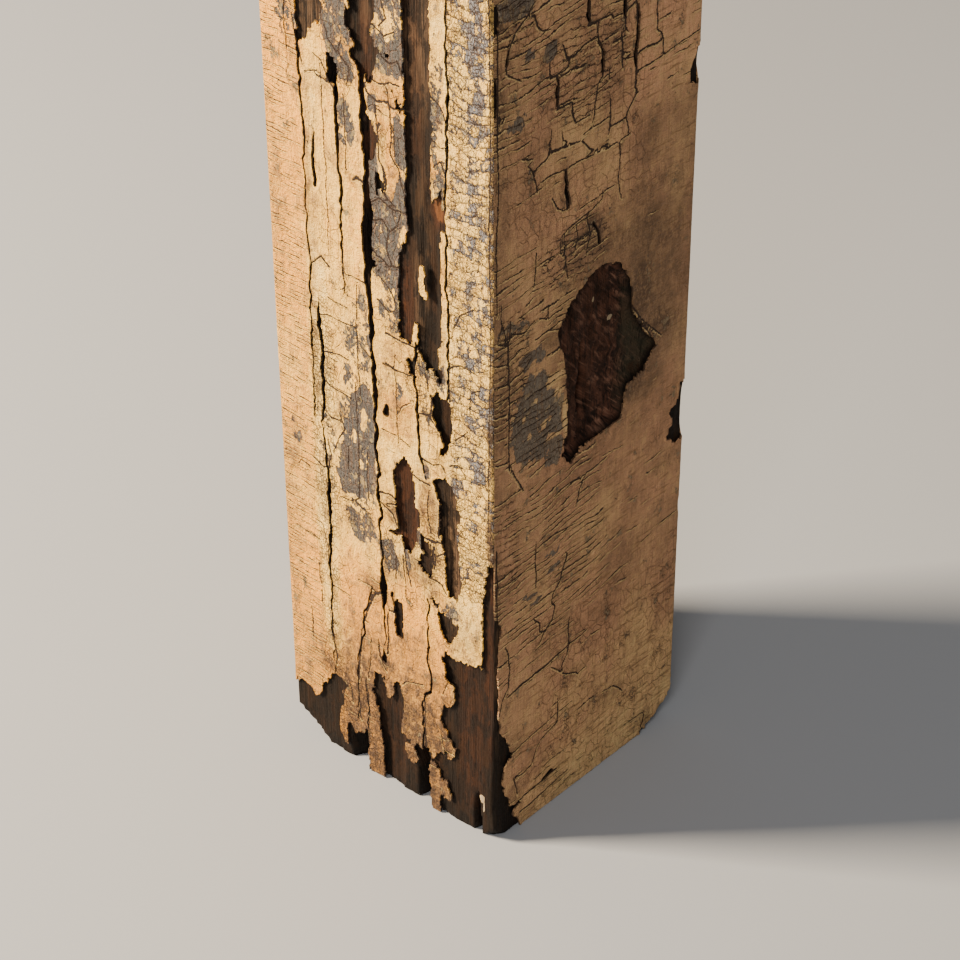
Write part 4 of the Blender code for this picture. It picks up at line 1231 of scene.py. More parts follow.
def paint_material(name, look, groups):
    """Old cream topcoat over grey primer: cracked, flaked off in places, yellowed and soiled."""
    material, tree, shader = new_material(name)
    place = marked(tree, "place", vector=True)
    in_rows = marked(tree, "rows")
    crackled = marked(tree, "crackle")

    cells = use_group(tree, groups["crackle"], Place=place, Scale=(0.2, 0.13, 1.0), Warp=2.4)
    chips = use_group(tree, groups["crackle"], Place=place, Scale=(0.55, 0.4, 1.0), Warp=1.2)
    bricks = use_group(tree, groups["flake_rows"], Place=place, Pitch=look["row_pitch"],
        Length=look["row_length"])
    level = use_group(tree, groups["level_cracks"], Place=place, Pitch=look["pitch"],
        Slope=look["slope"], Width=look["check_width"], Run=look["check_run"],
        Cover=marked(tree, "checks"))
    mapped = use_group(tree, groups["mapped_cracks"], Place=place,
        Way=marked(tree, "crack_way", vector=True), Apart=marked(tree, "crack_apart"))
    lip = highest(level["Lip"], mapped["Lip"]) * look["lip"]
    mottle = clouds(scaled(place, (0.05, 0.028, 1.0)), 5.0, 0.62)
    patches = clouds(scaled(place, (0.13, 0.075, 1.0), shift=(5, 9, 0)), 5.0, 0.62)
    smudge = clouds(scaled(place, (0.24, 0.15, 1.0), shift=(2, 4, 0)), 6.0, 0.7)
    ripple = clouds(scaled(place, look["ripple_scale"], turn=look["slope"], shift=(8, 1, 0)), 4.0, 0.65)
    speckle = clouds(scaled(place, (0.9, 0.7, 1.0)), 4.0, 0.65)
    dust = clouds(scaled(place, (3.0, 2.4, 1.0)), 3.0, 0.7)
    grain = use_group(tree, groups["grain"], Place=place)

    frayed = bricks["Gap"] + (speckle - 0.5) * 1.3
    joint = stepped(in_rows, 0.25, 0.6) * (1.0 - stepped(frayed, 0.08, 0.42))
    joint *= stepped(smudge, 0.3, 0.52, 0.4, 0.8)
    sparse = stepped(crackled * 0.55 + mottle, 0.62, 0.74)
    cell_gap = sparse * (1.0 - stepped(cells["Gap"], 0.0, 0.045))
    crowded = stepped(crackled * 0.5 + patches, 0.78, 0.88)
    chip_gap = crowded * (1.0 - stepped(chips["Gap"], 0.0, 0.12))
    level = level["Line"] * look["check_strength"]
    gap = highest(mapped["Line"], level, joint, cell_gap * 0.55, chip_gap * 0.75)

    wide = 0.5 + (patches - 0.5) * 1.9
    fine = 0.5 + (speckle - 0.5) * 1.6
    luck = wide * 0.55 + fine * 0.25
    luck += chips["Flake"] * 0.2
    brick_luck = in_rows * (bricks["Luck"] - 0.5)
    luck += brick_luck * (0.42 * look["row_wear"])
    rim = in_rows * (1.0 - stepped(frayed, 0.25, 1.3))
    luck += rim * (0.13 * look["row_wear"])
    bared = stepped(marked(tree, "primer") + luck, 0.98, 1.03)
    torn = 1.0 - stepped(marked(tree, "edge") + speckle, 0.55, 0.95)
    bared = calc("MAXIMUM", bared, torn * 0.28)

    uneven = mottle * 0.9 + smudge * 1.5
    uneven = uneven + ripple * 0.5 - 1.45
    yellowed = stepped(marked(tree, "tan") + uneven, 0.15, 0.85)
    cream = blended(yellowed, look["cream"], look["tan"])
    streak = stepped(grain["Fine"], 0.48, 0.7) * 0.42
    cream = blended(streak, cream, look["stain"])
    bright = stepped(smudge, 0.5, 0.64) * stepped(yellowed, 0.25, 0.75, 1.0, 0.3)
    cream = blended(bright, cream, look["cream"])
    chalk = marked(tree, "tan") + uneven - (speckle - 0.5) * 0.8
    chalk = 1.0 - stepped(chalk, -0.15, 0.22)
    chalk *= 0.85 - in_rows * 0.1
    cream = blended(chalk, cream, look["chalk_and_highlight"])
    freckles = stepped(dust, 0.53, 0.66) * 0.5
    cream = blended(freckles, cream, look["stain"])
    worn_tone = patches * 0.55 + smudge * 0.45
    soiled = marked(tree, "soil")
    worn_share = look["mottle"] + soiled * look["grime_and_shade"]
    worn_tone = stepped(worn_tone, 0.5, 0.57) * worn_share
    cream = blended(worn_tone, cream, look["soil"])
    wrinkles = stepped(ripple, 0.46, 0.34) * look["wrinkles"]
    cream = blended(wrinkles, cream, look["stain"])
    pits = stepped(speckle + (patches - 0.5) * 0.35, 0.63, 0.7) * look["pits"]
    pits *= 1.0 - in_rows * 0.6
    cream = blended(pits, cream, look["stain"])
    specks = speckle + (patches - 0.5) * 0.4
    specks += soiled * 0.03
    specks = stepped(specks, 0.685, 0.73) * look["pits"]
    cream = blended(specks, cream, look["crack"])
    smeared = smudge * 0.7 + speckle * 0.3
    smeared += (ripple - 0.5) * 0.35
    dirt = soiled * stepped(smeared, 0.3, 0.66, *look["dirt"])
    cream = blended(dirt, cream, look["soil"])
    cream = blended(dirt * look["grime_and_shade"], cream, look["crack"])
    smut = smudge * 0.55 + speckle * 0.45
    smut = marked(tree, "smut") * stepped(smut, 0.38, 0.58, 0.1, 0.8)
    cream = blended(smut, cream, look["smut"])
    grey = blended(in_rows * 0.7, look["primer"], look["primer_clean"])
    grey = blended(stepped(speckle, 0.44, 0.68), grey, look["primer_deep"])
    grey = blended(stepped(smudge, 0.5, 0.66) * 0.25, grey, look["soil"])
    worn_through = chips["Flake"] * stepped(patches, 0.4, 0.6)
    grey = blended(stepped(worn_through, 0.62, 0.8) * 0.22, grey, look["chalk_and_highlight"])
    grey = blended(streak * 1.3, grey, look["stain"])
    # Painted highlight: the lower lip of each crack is lightened towards the chalky colour
    cream = blended(lip * 0.85, cream, look["chalk_and_highlight"])
    colour = blended(bared, cream, grey)
    gap = calc("MAXIMUM", gap, bared * 0.5 * (1.0 - stepped(cells["Gap"], 0.0, 0.05)))
    halo = stepped(gap, 0.0, 0.6) * 0.4
    colour = blended(halo, colour, look["stain"])
    colour = blended(stepped(gap, 0.35, 0.8), colour, look["crack"])
    # Painted shadow: a dark rim along the paint's torn edges
    edge_shadow = stepped(marked(tree, "edge"), 0.02, 0.2, 0.85, 0.0)
    colour = blended(edge_shadow, colour, look["crack"])
    plug(shader.inputs["Base Color"], colour)

    rough = 0.5 + speckle * 0.24
    rough += bared * 0.1
    plug(shader.inputs["Roughness"], rough)
    shader.inputs["Specular IOR Level"].default_value = 0.2

    pillow = in_rows * stepped(bricks["Gap"], 0.0, 1.6, 0.0, 0.4)
    height = pillow - gap
    height += lip * 0.45
    height -= pits * 0.5
    height -= bared * 0.4
    height += speckle * 0.6
    height += dust * 0.18
    height += patches * 1.6
    height += smudge * 1.2
    height += ripple * look["ripple"]
    height += grain["Fine"] * 0.25
    raise_surface(shader, height, MM * look["relief"])
    return material


def timber_material(colours, groups):
    """Weathered bare wood: dark brown, grey-brown where it is long bared, warm where it was bared lately."""
    material, tree, shader = new_material("bare_timber")
    place = marked(tree, "place", vector=True)
    warm = marked(tree, "warm")
    dark = marked(tree, "dark")
    grain = use_group(tree, groups["grain"], Place=place)
    dust = clouds(scaled(place, (0.7, 0.4, 1.0)), 4.0, 0.65)
    blotch = clouds(scaled(place, (0.15, 0.065, 1.0), shift=(3, 8, 0)), 5.0, 0.66)
    splits = clouds(scaled(place, (0.75, 0.014, 1.0), shift=(9, 2, 0)), 3.0, 0.5)
    cracks = 1.0 - stepped(calc("ABSOLUTE", splits - 0.5), 0.004, 0.022)
    cracks *= stepped(blotch, 0.46, 0.56)
    wood = blended(stepped(grain["Fine"], 0.32, 0.7), colours["deep"], colours["grey"])
    wood = blended(stepped(grain["Broad"], 0.45, 0.68) * 0.55, wood, colours["brown"])
    light = marked(tree, "pale") * stepped(grain["Fine"], 0.36, 0.64, 0.06, 1.0)
    wood = blended(light, wood, colours["pale"])
    fresh = blended(stepped(grain["Fine"], 0.3, 0.7), colours["warm_deep"], colours["warm"])
    slanting = scaled(place, (1.0, 1.0, 1.0), turn=0.85)
    gouge = clouds(scaled(slanting, (0.09, 0.42, 1.0)), 5.0, 0.62)
    rot = clouds(scaled(place, (0.16, 0.1, 1.0), shift=(6, 3, 0)), 5.0, 0.68)
    in_scar = marked(tree, "scar")
    # Painted light in the scar: darker where its rot and gouges lie low, as painted shade over the rotten wood's
    # own brown, and lighter on the gouges' ridges, as painted highlight
    rotten = blended(stepped(rot, 0.42, 0.56), colours["scar_deep"], colours["scar"])
    rotten = blended(stepped(gouge, 0.52, 0.64) * 0.85, rotten, colours["scar_ridge_highlight"])
    rotten = blended(stepped(gouge, 0.44, 0.36) * 0.85, rotten, colours["black"])
    rotten = blended(stepped(parts(place)[0], 86.0, 98.0) * 0.8, rotten, colours["moss"])
    wood = blended(in_scar, wood, rotten)
    wood = blended(calc("MULTIPLY", warm, stepped(blotch, 0.3, 0.56, 0.35, 1.0), clamp=True), wood, fresh)
    wood = blended(stepped(warm, 1.05, 1.45), wood, colours["orange"])
    clean = 1.0 - in_scar * 0.85
    # Painted shade in the deep checks and hollows, from the dark mark, joins blotches of grime to darken the
    # wood
    grime_and_shade = dark + stepped(blotch, 0.46, 0.56) * 0.75
    wood = blended(calc("MULTIPLY", grime_and_shade, clean * 0.85, clamp=True), wood, colours["black"])
    wood = blended(cracks * 0.85, wood, colours["black"])
    wood = blended(stepped(marked(tree, "fleck") + dust * 0.5, 0.7, 0.8), wood, colours["fleck"])
    plug(shader.inputs["Base Color"], wood)
    plug(shader.inputs["Roughness"], stepped(dust, 0.2, 0.8, 0.62, 0.88))
    shader.inputs["Specular IOR Level"].default_value = 0.16
    height = grain["Fine"] * 0.8 + cracks * -0.8
    height += dust * 0.3
    height += (gouge + rot) * (in_scar * 1.6)
    raise_surface(shader, height, MM * 1.2)
    return material


def end_grain_material(colours):
    """Sawn ends: growth rings round a pith that lies off the middle, with fine saw marks."""
    material, tree, shader = new_material("end_grain")
    pose = Value(tree.nodes.new("ShaderNodeTexCoord").outputs["Object"])
    centred = scaled(pose, (1000, 1000, 1000), shift=(18, -26, 0))
    bend = clouds(scaled(pose, (14, 14, 14)), 4.0, 0.6)
    rings = tree.nodes.new("ShaderNodeTexWave")
    rings.wave_type = "RINGS"
    rings.rings_direction = "Z"
    rings.wave_profile = "SAW"
    rings.inputs["Scale"].default_value = 0.085
    rings.inputs["Distortion"].default_value = 1.6
    rings.inputs["Detail"].default_value = 2.0
    rings.inputs["Detail Scale"].default_value = 0.6
    plug(rings.inputs["Vector"], centred)
    ring = Value(rings.outputs["Fac"])
    saw = clouds(scaled(pose, (60, 1400, 60), turn=0.3), 2.0, 0.6)
    wood = blended(ring, colours["end"], colours["end_late"])
    wood = blended(stepped(bend, 0.35, 0.75, 0.05, 0.45), wood, colours["brown"])
    wood = blended(stepped(saw, 0.4, 0.7) * 0.35, wood, colours["grey"])
    plug(shader.inputs["Base Color"], wood)
    shader.inputs["Roughness"].default_value = 0.8
    height = ring * 0.5 + saw
    raise_surface(shader, height, MM * 0.5)
    return material


def floor_material(colour):
    """A plain pale floor."""
    material, shader = new_material("pale_floor")[::2]
    shader.inputs["Base Color"].default_value = (*colour, 1.0)
    shader.inputs["Roughness"].default_value = 0.75
    shader.inputs["Specular IOR Level"].default_value = 0.2
    return material


def groups_in_use():
    """The shared node groups, made once."""
    makers = {"crackle": crackle_group, "level_cracks": line_group, "flake_rows": flake_row_group,
              "mapped_cracks": crack_group, "grain": grain_group}
    return {name: bpy.data.node_groups.get(name) or make() for name, make in makers.items()}


def colour_property(name, default, description):
    """A colour that the user can change."""
    return bpy.props.FloatVectorProperty(
        name=name, description=description, subtype="COLOR", size=3, min=0.0, max=1.0, default=default
    )


def length_property(name, default, description):
    """A length that the user can change, in metres."""
    return bpy.props.FloatProperty(name=name, description=description, unit="LENGTH", min=0.0,
        default=default)


def rgba(colour):
    """A colour with full alpha, as a shader socket takes it."""
    return (*colour, 1.0)


class PORCHPOST_PG_timber(bpy.types.PropertyGroup):
    """The bare timber."""

    grey: colour_property("Weathered", (0.0150, 0.0074, 0.0030), "Soiled wood on its ridges")
    brown: colour_property("Brown", (0.0230, 0.0092, 0.0032), "Broad brown bands in the wood")
    deep: colour_property("Grain", (0.0050, 0.0030, 0.0018), "Wood in the grain's hollows")
    # The colour that the painted shade of deep checks, hollows and gouges darkens to, and also grime
    black: colour_property("Deep hollows", (0.006, 0.004, 0.003), "Wood deep in checks and decay")
    pale: colour_property("Long bared", (0.175, 0.105, 0.060), "Wood bared for years, on its ridges")
    warm: colour_property("Lately bared", (0.052, 0.0165, 0.0050), "Wood bared lately, on its ridges")
    warm_deep: colour_property("Lately bared grain", (0.018, 0.0072, 0.0038),
        "Wood bared lately, in its grain")
    orange: colour_property("Freshly torn", (0.220, 0.085, 0.026), "Wood where the paint tore off last")
    scar: colour_property("Scar", (0.100, 0.043, 0.027), "Rotten wood in the scar of the lost rail")
    # The scar's hollows are darkened as painted shade over the rotten wood, and its ridges are lightened as
    # painted highlight
    scar_deep: colour_property("Scar, hollows", (0.022, 0.011, 0.008), "The scar's hollows")
    scar_ridge_highlight: colour_property("Scar, ridges", (0.235, 0.12, 0.08),
        "Splinters that stand up in the scar")
    moss: colour_property("Mossy wood", (0.034, 0.031, 0.018), "Damp greenish wood on the scar's far side")
    fleck: colour_property("Flecks", (0.36, 0.28, 0.18), "Specks of old paint left on bare wood")
    end: colour_property("End grain", (0.30, 0.19, 0.10), "Early wood on the sawn ends")
    end_late: colour_property("Late wood", (0.12, 0.065, 0.032), "Late wood on the sawn ends")


TIMBER_COLOURS = (
    "grey", "brown", "deep", "black", "pale", "warm", "warm_deep", "orange", "fleck", "end", "end_late",
    "scar", "scar_deep", "scar_ridge_highlight", "moss",
)


class PORCHPOST_PG_paint(bpy.types.PropertyGroup):
    """The coats of paint."""

    thickness: length_property("Thickness", 0.8 * MM, "How thick the coats of paint are together")
    curl: length_property("Curl", 0.7 * MM, "How far torn edges lift off the timber")
    cream: colour_property("Cream", (0.97, 0.585, 0.115), "Clean topcoat")
    tan: colour_property("Cream, yellowed", (0.97, 0.430, 0.044), "Yellowed topcoat")
    primer: colour_property("Primer", (0.083, 0.079, 0.076), "Grey primer under the topcoat")
    primer_deep: colour_property("Primer, dirty", (0.038, 0.031, 0.027), "Dirty primer")
    primer_clean: colour_property("Primer, clean", (0.25, 0.258, 0.29),
        # Painted shade: the primer's copy for the faces the key light misses, coloured to stand in for their
        # shade
        "Primer between the rows of small flakes")
    primer_shaded: colour_property("Primer, dusty", (0.225, 0.182, 0.138),
        "Primer on the faces that hold dust")
    soil: colour_property("Soil", (0.215, 0.125, 0.066), "Brown soil on the topcoat")
    smut: colour_property("Smut", (0.060, 0.034, 0.020), "Black-brown smuts on the topcoat")
    stain: colour_property("Stain", (0.20, 0.094, 0.034), "Stain beside cracks and along the grain")
    # Chalky topcoat, and also the painted highlight on the lower lips of cracks
    chalk_and_highlight: colour_property("Bleached", (0.98, 0.69, 0.215), "Topcoat that has gone chalky")
    # The dust is real dust and, in part, painted shade: mixed in by face, it gives the faces out of the key
    # light a greyer, cooler copy of the paint
    dust: colour_property("Dust", (0.57, 0.368, 0.4),
        "Dust that greys the paint on all faces but the front")
    dust_and_shade_share: bpy.props.FloatProperty(name="Dustiness",
        description="Share of dust on all faces but the front", subtype="FACTOR", default=0.5, min=0,
        max=1)
    # Also the colour of the painted shadow along the paint's torn edges
    crack: colour_property("Cracks", (0.026, 0.0135, 0.0075), "Dirt deep in the cracks")


class PORCHPOST_PG_stage(bpy.types.PropertyGroup):
    """The floor, the lights and the camera."""

    floor: colour_property("Floor", (0.29, 0.31, 0.345), "Colour of the plain floor")
    floor_size: length_property("Floor size", 40.0, "Side of the square floor")
    lens: bpy.props.FloatProperty(
        name="Lens", description="Focal length of the camera in millimetres", default=101.86, min=10.0)
    turn: bpy.props.FloatProperty(
        name="Turn", description="Camera's way round the post", subtype="ANGLE", default=math.radians(42.22))
    pitch: bpy.props.FloatProperty(name="Pitch", description="How far the camera looks down",
        subtype="ANGLE", default=math.radians(34.94))
    roll: bpy.props.FloatProperty(
        name="Roll", description="Tilt of the camera about its own axis", subtype="ANGLE",
        default=math.radians(0.2525))
    distance: length_property("Distance", 1.3513, "From the camera to the near foot, along its axis")
    key: bpy.props.FloatProperty(
        name="Key light", description="Power of the main light", unit="POWER", default=530.0, min=0.0)
    fill: bpy.props.FloatProperty(
        name="Fill light", description="Power of the fill light", unit="POWER", default=41.0, min=0.0)
    ambient: bpy.props.FloatProperty(
        name="Ambient", description="Strength of the even light all round", default=0.28, min=0.0)


def timber_columns(face):
    """Places of the mesh columns across one face, closer together at the arrises."""
    count = {"front": 148, "right": 112, "back": 60, "left": 60}[face]
    rounding = np.linspace(0, ARRIS_RADIUS, 4)
    flat = np.linspace(ARRIS_RADIUS, SECTION - ARRIS_RADIUS, count - 6)
    return np.concatenate((rounding[:-1], flat, SECTION - rounding[::-1][1:]))


class PORCHPOST_OT_timber(bpy.types.Operator):
    """Make the bare timber with its checks, hollows, scar and worn foot"""

    bl_idname = "porch_post.timber"
    bl_label = "Timber"

    def execute(self, context):
        thickness = context.scene.porch_post_paint.thickness / MM
        heights = row_heights(2.5, 9.0)
        strips = []
        for face, way in ROUND:
            columns = timber_columns(face)
            if way < 0:
                columns = columns[::-1]
            across, height = np.meshgrid(columns, heights)
            depth = timber_depth(face, across, height, thickness)
            strips.append((face, across, height, depth))
        for number, strip in enumerate(strips):
            after = strips[(number + 1) % len(strips)]
            shared = (strip[3][:, -1] + after[3][:, 0]) / 2
            strip[3][:, -1] = shared
            after[3][:, 0] = shared

        across = np.concatenate([strip[1][:, :-1] for strip in strips] + [strips[0][1][:, :1]], axis=1)
        height = np.concatenate([strip[2][:, :-1] for strip in strips] + [strips[0][2][:, :1]], axis=1)
        depth = np.concatenate([strip[3][:, :-1] for strip in strips] + [strips[0][3][:, :1]], axis=1)
        turn = np.concatenate(
            [np.full(strip[1][:, :-1].shape, number) for number, strip in enumerate(strips)]
            + [np.zeros(strips[0][1][:, :1].shape)], axis=1)
        x = np.zeros(across.shape)
        y = np.zeros(across.shape)
        for number, (face, _) in enumerate(ROUND):
            here = turn == number
            x[here], y[here] = wrapped(face, across[here], depth[here])
        x, y = worn(x, y, height)
        nibble = np.clip(lumps(x, y, 9, 9, 90) + 0.15, 0, 1) * 3.2 + 0.5
        z = height + nibble * np.clip(1 - height / 14, 0, 1)
        z[-1] = LENGTH - 0.7

        # two more rings inside each end, to carry its flat
        across, height, depth, turn = (np.concatenate((grid[:1], grid[:1], grid, grid[-1:],
            grid[-1:])) for grid in (across, height, depth, turn))
        square_x, square_y = square_ring(across[0], turn[0])
        x = np.concatenate(([square_x * 0.7], [x[0] * 0.985], x, [x[-1] * 0.992], [square_x * 0.7]))
        y = np.concatenate(([square_y * 0.7], [y[0] * 0.985], y, [y[-1] * 0.992], [square_y * 0.7]))
        level = np.zeros(z[:1].shape)
        z = np.concatenate((level, level, z, level + LENGTH, level + LENGTH))

        rows, columns = across.shape
        piece = grid_sheet("timber", columns, rows)
        move_to(piece.data, np.stack([x, y, z], axis=-1).reshape(-1, 3) * MM)
        kept = np.zeros(across.shape)
        warm = np.zeros(across.shape)
        pale = np.zeros(across.shape)
        fleck = np.zeros(across.shape)
        for number, (face, _) in enumerate(ROUND):
            here = turn == number
            seed = COAT_BY_FACE[face].seed
            warm[here] = blobs(WARM_WOOD[face], across[here], height[here], 1.5, seed + 80)
            pale[here] = blobs(PALE_WOOD[face], across[here], height[here], 2.5, seed + 84)
            kept[here] = COAT_BY_FACE[face].kept(across[here], height[here])
            for fx, fy, half_width, half_height in FLECKS[face]:
                apart = np.hypot((across[here] - fx) / half_width, (height[here] - fy) / half_height)
                fleck[here] = np.maximum(fleck[here], 1 - eased(apart, 0.6, 1.2))
        # Painted shade: the timber is darkened by its depth under the face, so its checks and hollows are shaded
        # in colour, less so on the right face; it is also darker towards the foot, and darker beside the paint's
        # edges as painted shade
        foot_dark_and_edge_shade = 0.50 * (1 - eased(height, 0, 26)) + 0.25 * eased(kept, -2.0, 0.0)
        start = np.where(turn == 1, 8.0, 4.5)
        dark = np.clip(0.9 * eased(depth, start, start + 8.5) + foot_dark_and_edge_shade, 0, 1) * (1 - 0.5
            * np.clip(warm + pale, 0, 1))
        mark(piece.data, "place", np.stack([across, height, turn * 1.0], axis=-1).reshape(-1, 3))
        mark(piece.data, "warm", warm.ravel())
        mark(piece.data, "pale", pale.ravel())
        mark(piece.data, "dark", dark.ravel())
        mark(piece.data, "fleck", fleck.ravel())
        scar = (turn == 1) * eased(-outline_distance(SCAR, across, height), -0.5, 2.0)
        mark(piece.data, "scar", scar.ravel())

        close_timber(piece)
        paint = context.scene.porch_post_timber
        colours = {
            name: rgba(getattr(paint, name))
            for name in TIMBER_COLOURS
        }
        groups = groups_in_use()
        finish_piece(piece, (timber_material(colours, groups), end_grain_material(colours)))
        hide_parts(NODE)
        return {"FINISHED"}


def square_ring(across, turn):
    """The unworn outline of the post, at the places of the timber's columns."""
    x = np.zeros(across.shape)
    y = np.zeros(across.shape)
    for number, (face, _) in enumerate(ROUND):
        here = turn == number
        x[here], y[here] = wrapped(face, across[here], 0.0)
    return x, y


def close_timber(piece):
    """Join the wrapped grid at its seam and close both ends."""
    select_only(piece)
    bpy.ops.object.mode_set(mode="EDIT")
    bpy.ops.mesh.select_all(action="SELECT")
    bpy.ops.mesh.remove_doubles(threshold=0.001 * MM)
    bpy.ops.object.mode_set(mode="OBJECT")
    shape = bmesh.new()
    shape.from_mesh(piece.data)
    for level in (0.0, LENGTH * MM):
        rim = [edge for edge in shape.edges if edge.is_boundary and abs(edge.verts[0].co.z - level) < MM]
        bmesh.ops.contextual_create(shape, geom=rim)
    bmesh.ops.recalc_face_normals(shape, faces=shape.faces)
    for face in shape.faces:
        heights = [corner.co.z for corner in face.verts]
        flat = max(heights) < 0.01 * MM or min(heights) > (LENGTH - 0.01) * MM
        face.material_index = 1 if flat else 0
        face.smooth = not flat
    shape.to_mesh(piece.data)
    shape.free()
    piece.data.update()


def lifted(coat, across, height, kept, curl):
    """How far the paint's outer surface stands off its place, in millimetres."""
    lift = 0.10 * lumps(across, height, 14, 30, coat.seed + 20) - 0.16
    lively = 0.35 + 0.65 * eased(lumps(across, height, 6, 12, coat.seed + 21), -0.2, 0.5)
    lift = lift + curl * lively * np.exp(-np.clip(kept, 0, None) / 1.6)
    flakes = flake_centres(across, height, 5.2, 8.5, coat.seed + 22)
    lift = lift + 0.10 * (flakes[2] - 0.5)
    for x, y, half_width, half_height, rise in LIFTS[coat.face]:
        aside = 1 - eased(np.abs(across - x) / half_width, 0.6, 1.0)
        down = np.clip((y + half_height - height) / (2 * half_height), 0, 1)
        below = 1 - eased(y - half_height - height, 0, 3)
        lift = lift + rise * aside * down**1.7 * below
    return lift


def bared_primer(face, across, height, seed):
    """How likely the topcoat is to have come off the primer at each place."""
    share = blobs(PRIMER[face], across, height, 3.0, seed + 70)
    x = across + 1.6 * lumps(across, height, 7, 12, seed + 71)
    y = height + 2.4 * lumps(across, height, 7, 12, seed + 72)
    for outline in PRIMER_OUTLINES[face]:
        share = np.maximum(share, 0.68 * (1 - eased(outline_distance(outline, x, y), -1.5, 2.0)))
    share = share - blobs(TOPCOAT_LEFT[face], across, height, 1.4, seed + 73)
    return np.maximum(share, 0.30)


def surface_state(face, across, height, seed):
    """How a face's paint has aged at each place: shares from 0 to 1."""
    patchy = lumps(across, height, 26, 40, seed + 30)
    small = lumps(across, height, 9, 14, seed + 31)
    state = {}
    if face == "front":
        state["rows"] = (1 - eased(across, 24, 29)) * eased(height, 135, 165)
        state["checks"] = 0.20 + 0.52 * eased(across, 110, 118) + 0.30 * patchy * eased(across, 60, 80)
        state["crackle"] = 0.2 + 0.2 * patchy + 0.55 * eased(across, 99, 104) * (1
            - eased(across, 115, 119)) * (1 - eased(height, 250, 300))
        state["crackle"] = state["crackle"] * (1 - 0.8 * eased(across, 115, 120)) + 0.5 * state["rows"]
        state["crackle"] = state["crackle"] + 0.55 * blobs(BROKEN, across, height, 2.0, seed + 37)
        state["tan"] = 0.22 + 0.35 * patchy + 0.45 * eased(across, 110, 118) + 0.5 * (1
            - eased(height, 90, 150))
        state["tan"] = state["tan"] + 0.45 * blobs(TAN_PAINT, across, height, 2.0, seed + 33)
        state["tan"] = state["tan"] - 0.42 * (1 - eased(across, 26, 30))
        state["tan"] = state["tan"] + 0.18 * eased(height, 250, 320) * eased(across, 72, 80)
        flaky = eased(across, 101, 106) * (1 - eased(across, 114, 119)) * eased(height, 50, 90)
        state["tan"] = state["tan"] - 0.42 * flaky * (1 - 0.8 * eased(height, 240, 300))
        low = 1 - eased(height, 30, 128)
        state["soil"] = 0.05 + 0.14 * small + 1.12 * low * (1 - 0.75 * eased(across, 92, 112))
        state["soil"] = state["soil"] + 0.45 * (1 - eased(across, 1.0, 4.5))
        state["soil"] = state["soil"] + 0.60 * blobs(FRONT_STAINS, across, height, 2.0, seed + 34)
    elif face == "right":
        state["rows"] = 0.75 * blobs(CRAZED, across, height, 2.0, seed + 35)
        low = 1 - eased(height, 165, 200)
        fading = 0.45 - 0.25 * eased(height, 350, 375)
        state["checks"] = (0.62 - fading * eased(across, 56, 96)) * (0.55 + 0.45 * eased(height, 70, 118))
        state["checks"] = state["checks"] + 0.22 * small + 0.15 * low * eased(height, 100, 120)
        state["checks"] = state["checks"] * (1 - 0.35 * eased(height, 330, 350) + 0.45
            * eased(height, 370, 390))
        state["crackle"] = 0.12 + 0.14 * patchy + 0.3 * eased(height, 300, 360) * (1
            - eased(across, 92, 112))
        state["crackle"] = state["crackle"] + 0.34 * (1 - eased(height, 92, 140)) * eased(across, 14, 40)
        state["tan"] = 0.55 + 0.4 * patchy - 0.9 * blobs(TOPCOAT_LEFT[face], across, height, 0.8, seed + 73)
        low_light = (1 - eased(height, 30, 110)) * eased(across, 10, 60)
        state["tan"] = state["tan"] - 0.45 * low_light
        # The soil's even base on this face is real soiling and, in part, painted warm light, as bounced onto
        # this face in shade
        state["soil"] = 0.38 + 0.28 * patchy + 0.24 * small - 0.40 * low_light
        near_scar = 1 - eased(np.hypot(across - 80, (height - 264) * 0.8), 30, 62)
        state["soil"] = state["soil"] + 0.5 * near_scar + 0.3 * (1
            - eased(across, 4, 14)) * eased(height, 200, 240)
        far_side = eased(across, 84, 104) * eased(height, 205, 250) * (1 - eased(height, 350, 385))
        state["soil"] = state["soil"] + 0.32 * far_side + 0.30 * (1 - eased(across, 1.0, 3.5))
        state["soil"] = state["soil"] + 0.35 * blobs(RIGHT_STAINS, across, height, 2.0, seed + 34)
        state["soil"] = state["soil"] - 0.60 * eased(height, 355, 400) * eased(across, 80, 108)
        state["soil"] = state["soil"] - 1.2 * blobs(TOPCOAT_LEFT[face], across, height, 0.8, seed + 73)
    else:
        long = lumps(across, height, 34, 190, seed + 38)
        edges = 1 - eased(np.minimum(across, SECTION - across), 2, 14)
        state["rows"] = 0.7 * eased(long, 0.12, 0.40)
        state["checks"] = 0.42 + 0.5 * long + 0.2 * small
        state["crackle"] = 0.25 + 0.5 * long
        state["tan"] = 0.50 + 0.5 * long
        state["soil"] = 0.36 + 0.45 * long + 0.26 * small + 0.16 * edges + 0.3 * (1
            - eased(height, 40, 160))
    state["smut"] = blobs(SMUTS[face], across, height, 2.5, seed + 36)
    return {name: np.clip(value, 0, 1) for name, value in state.items()}


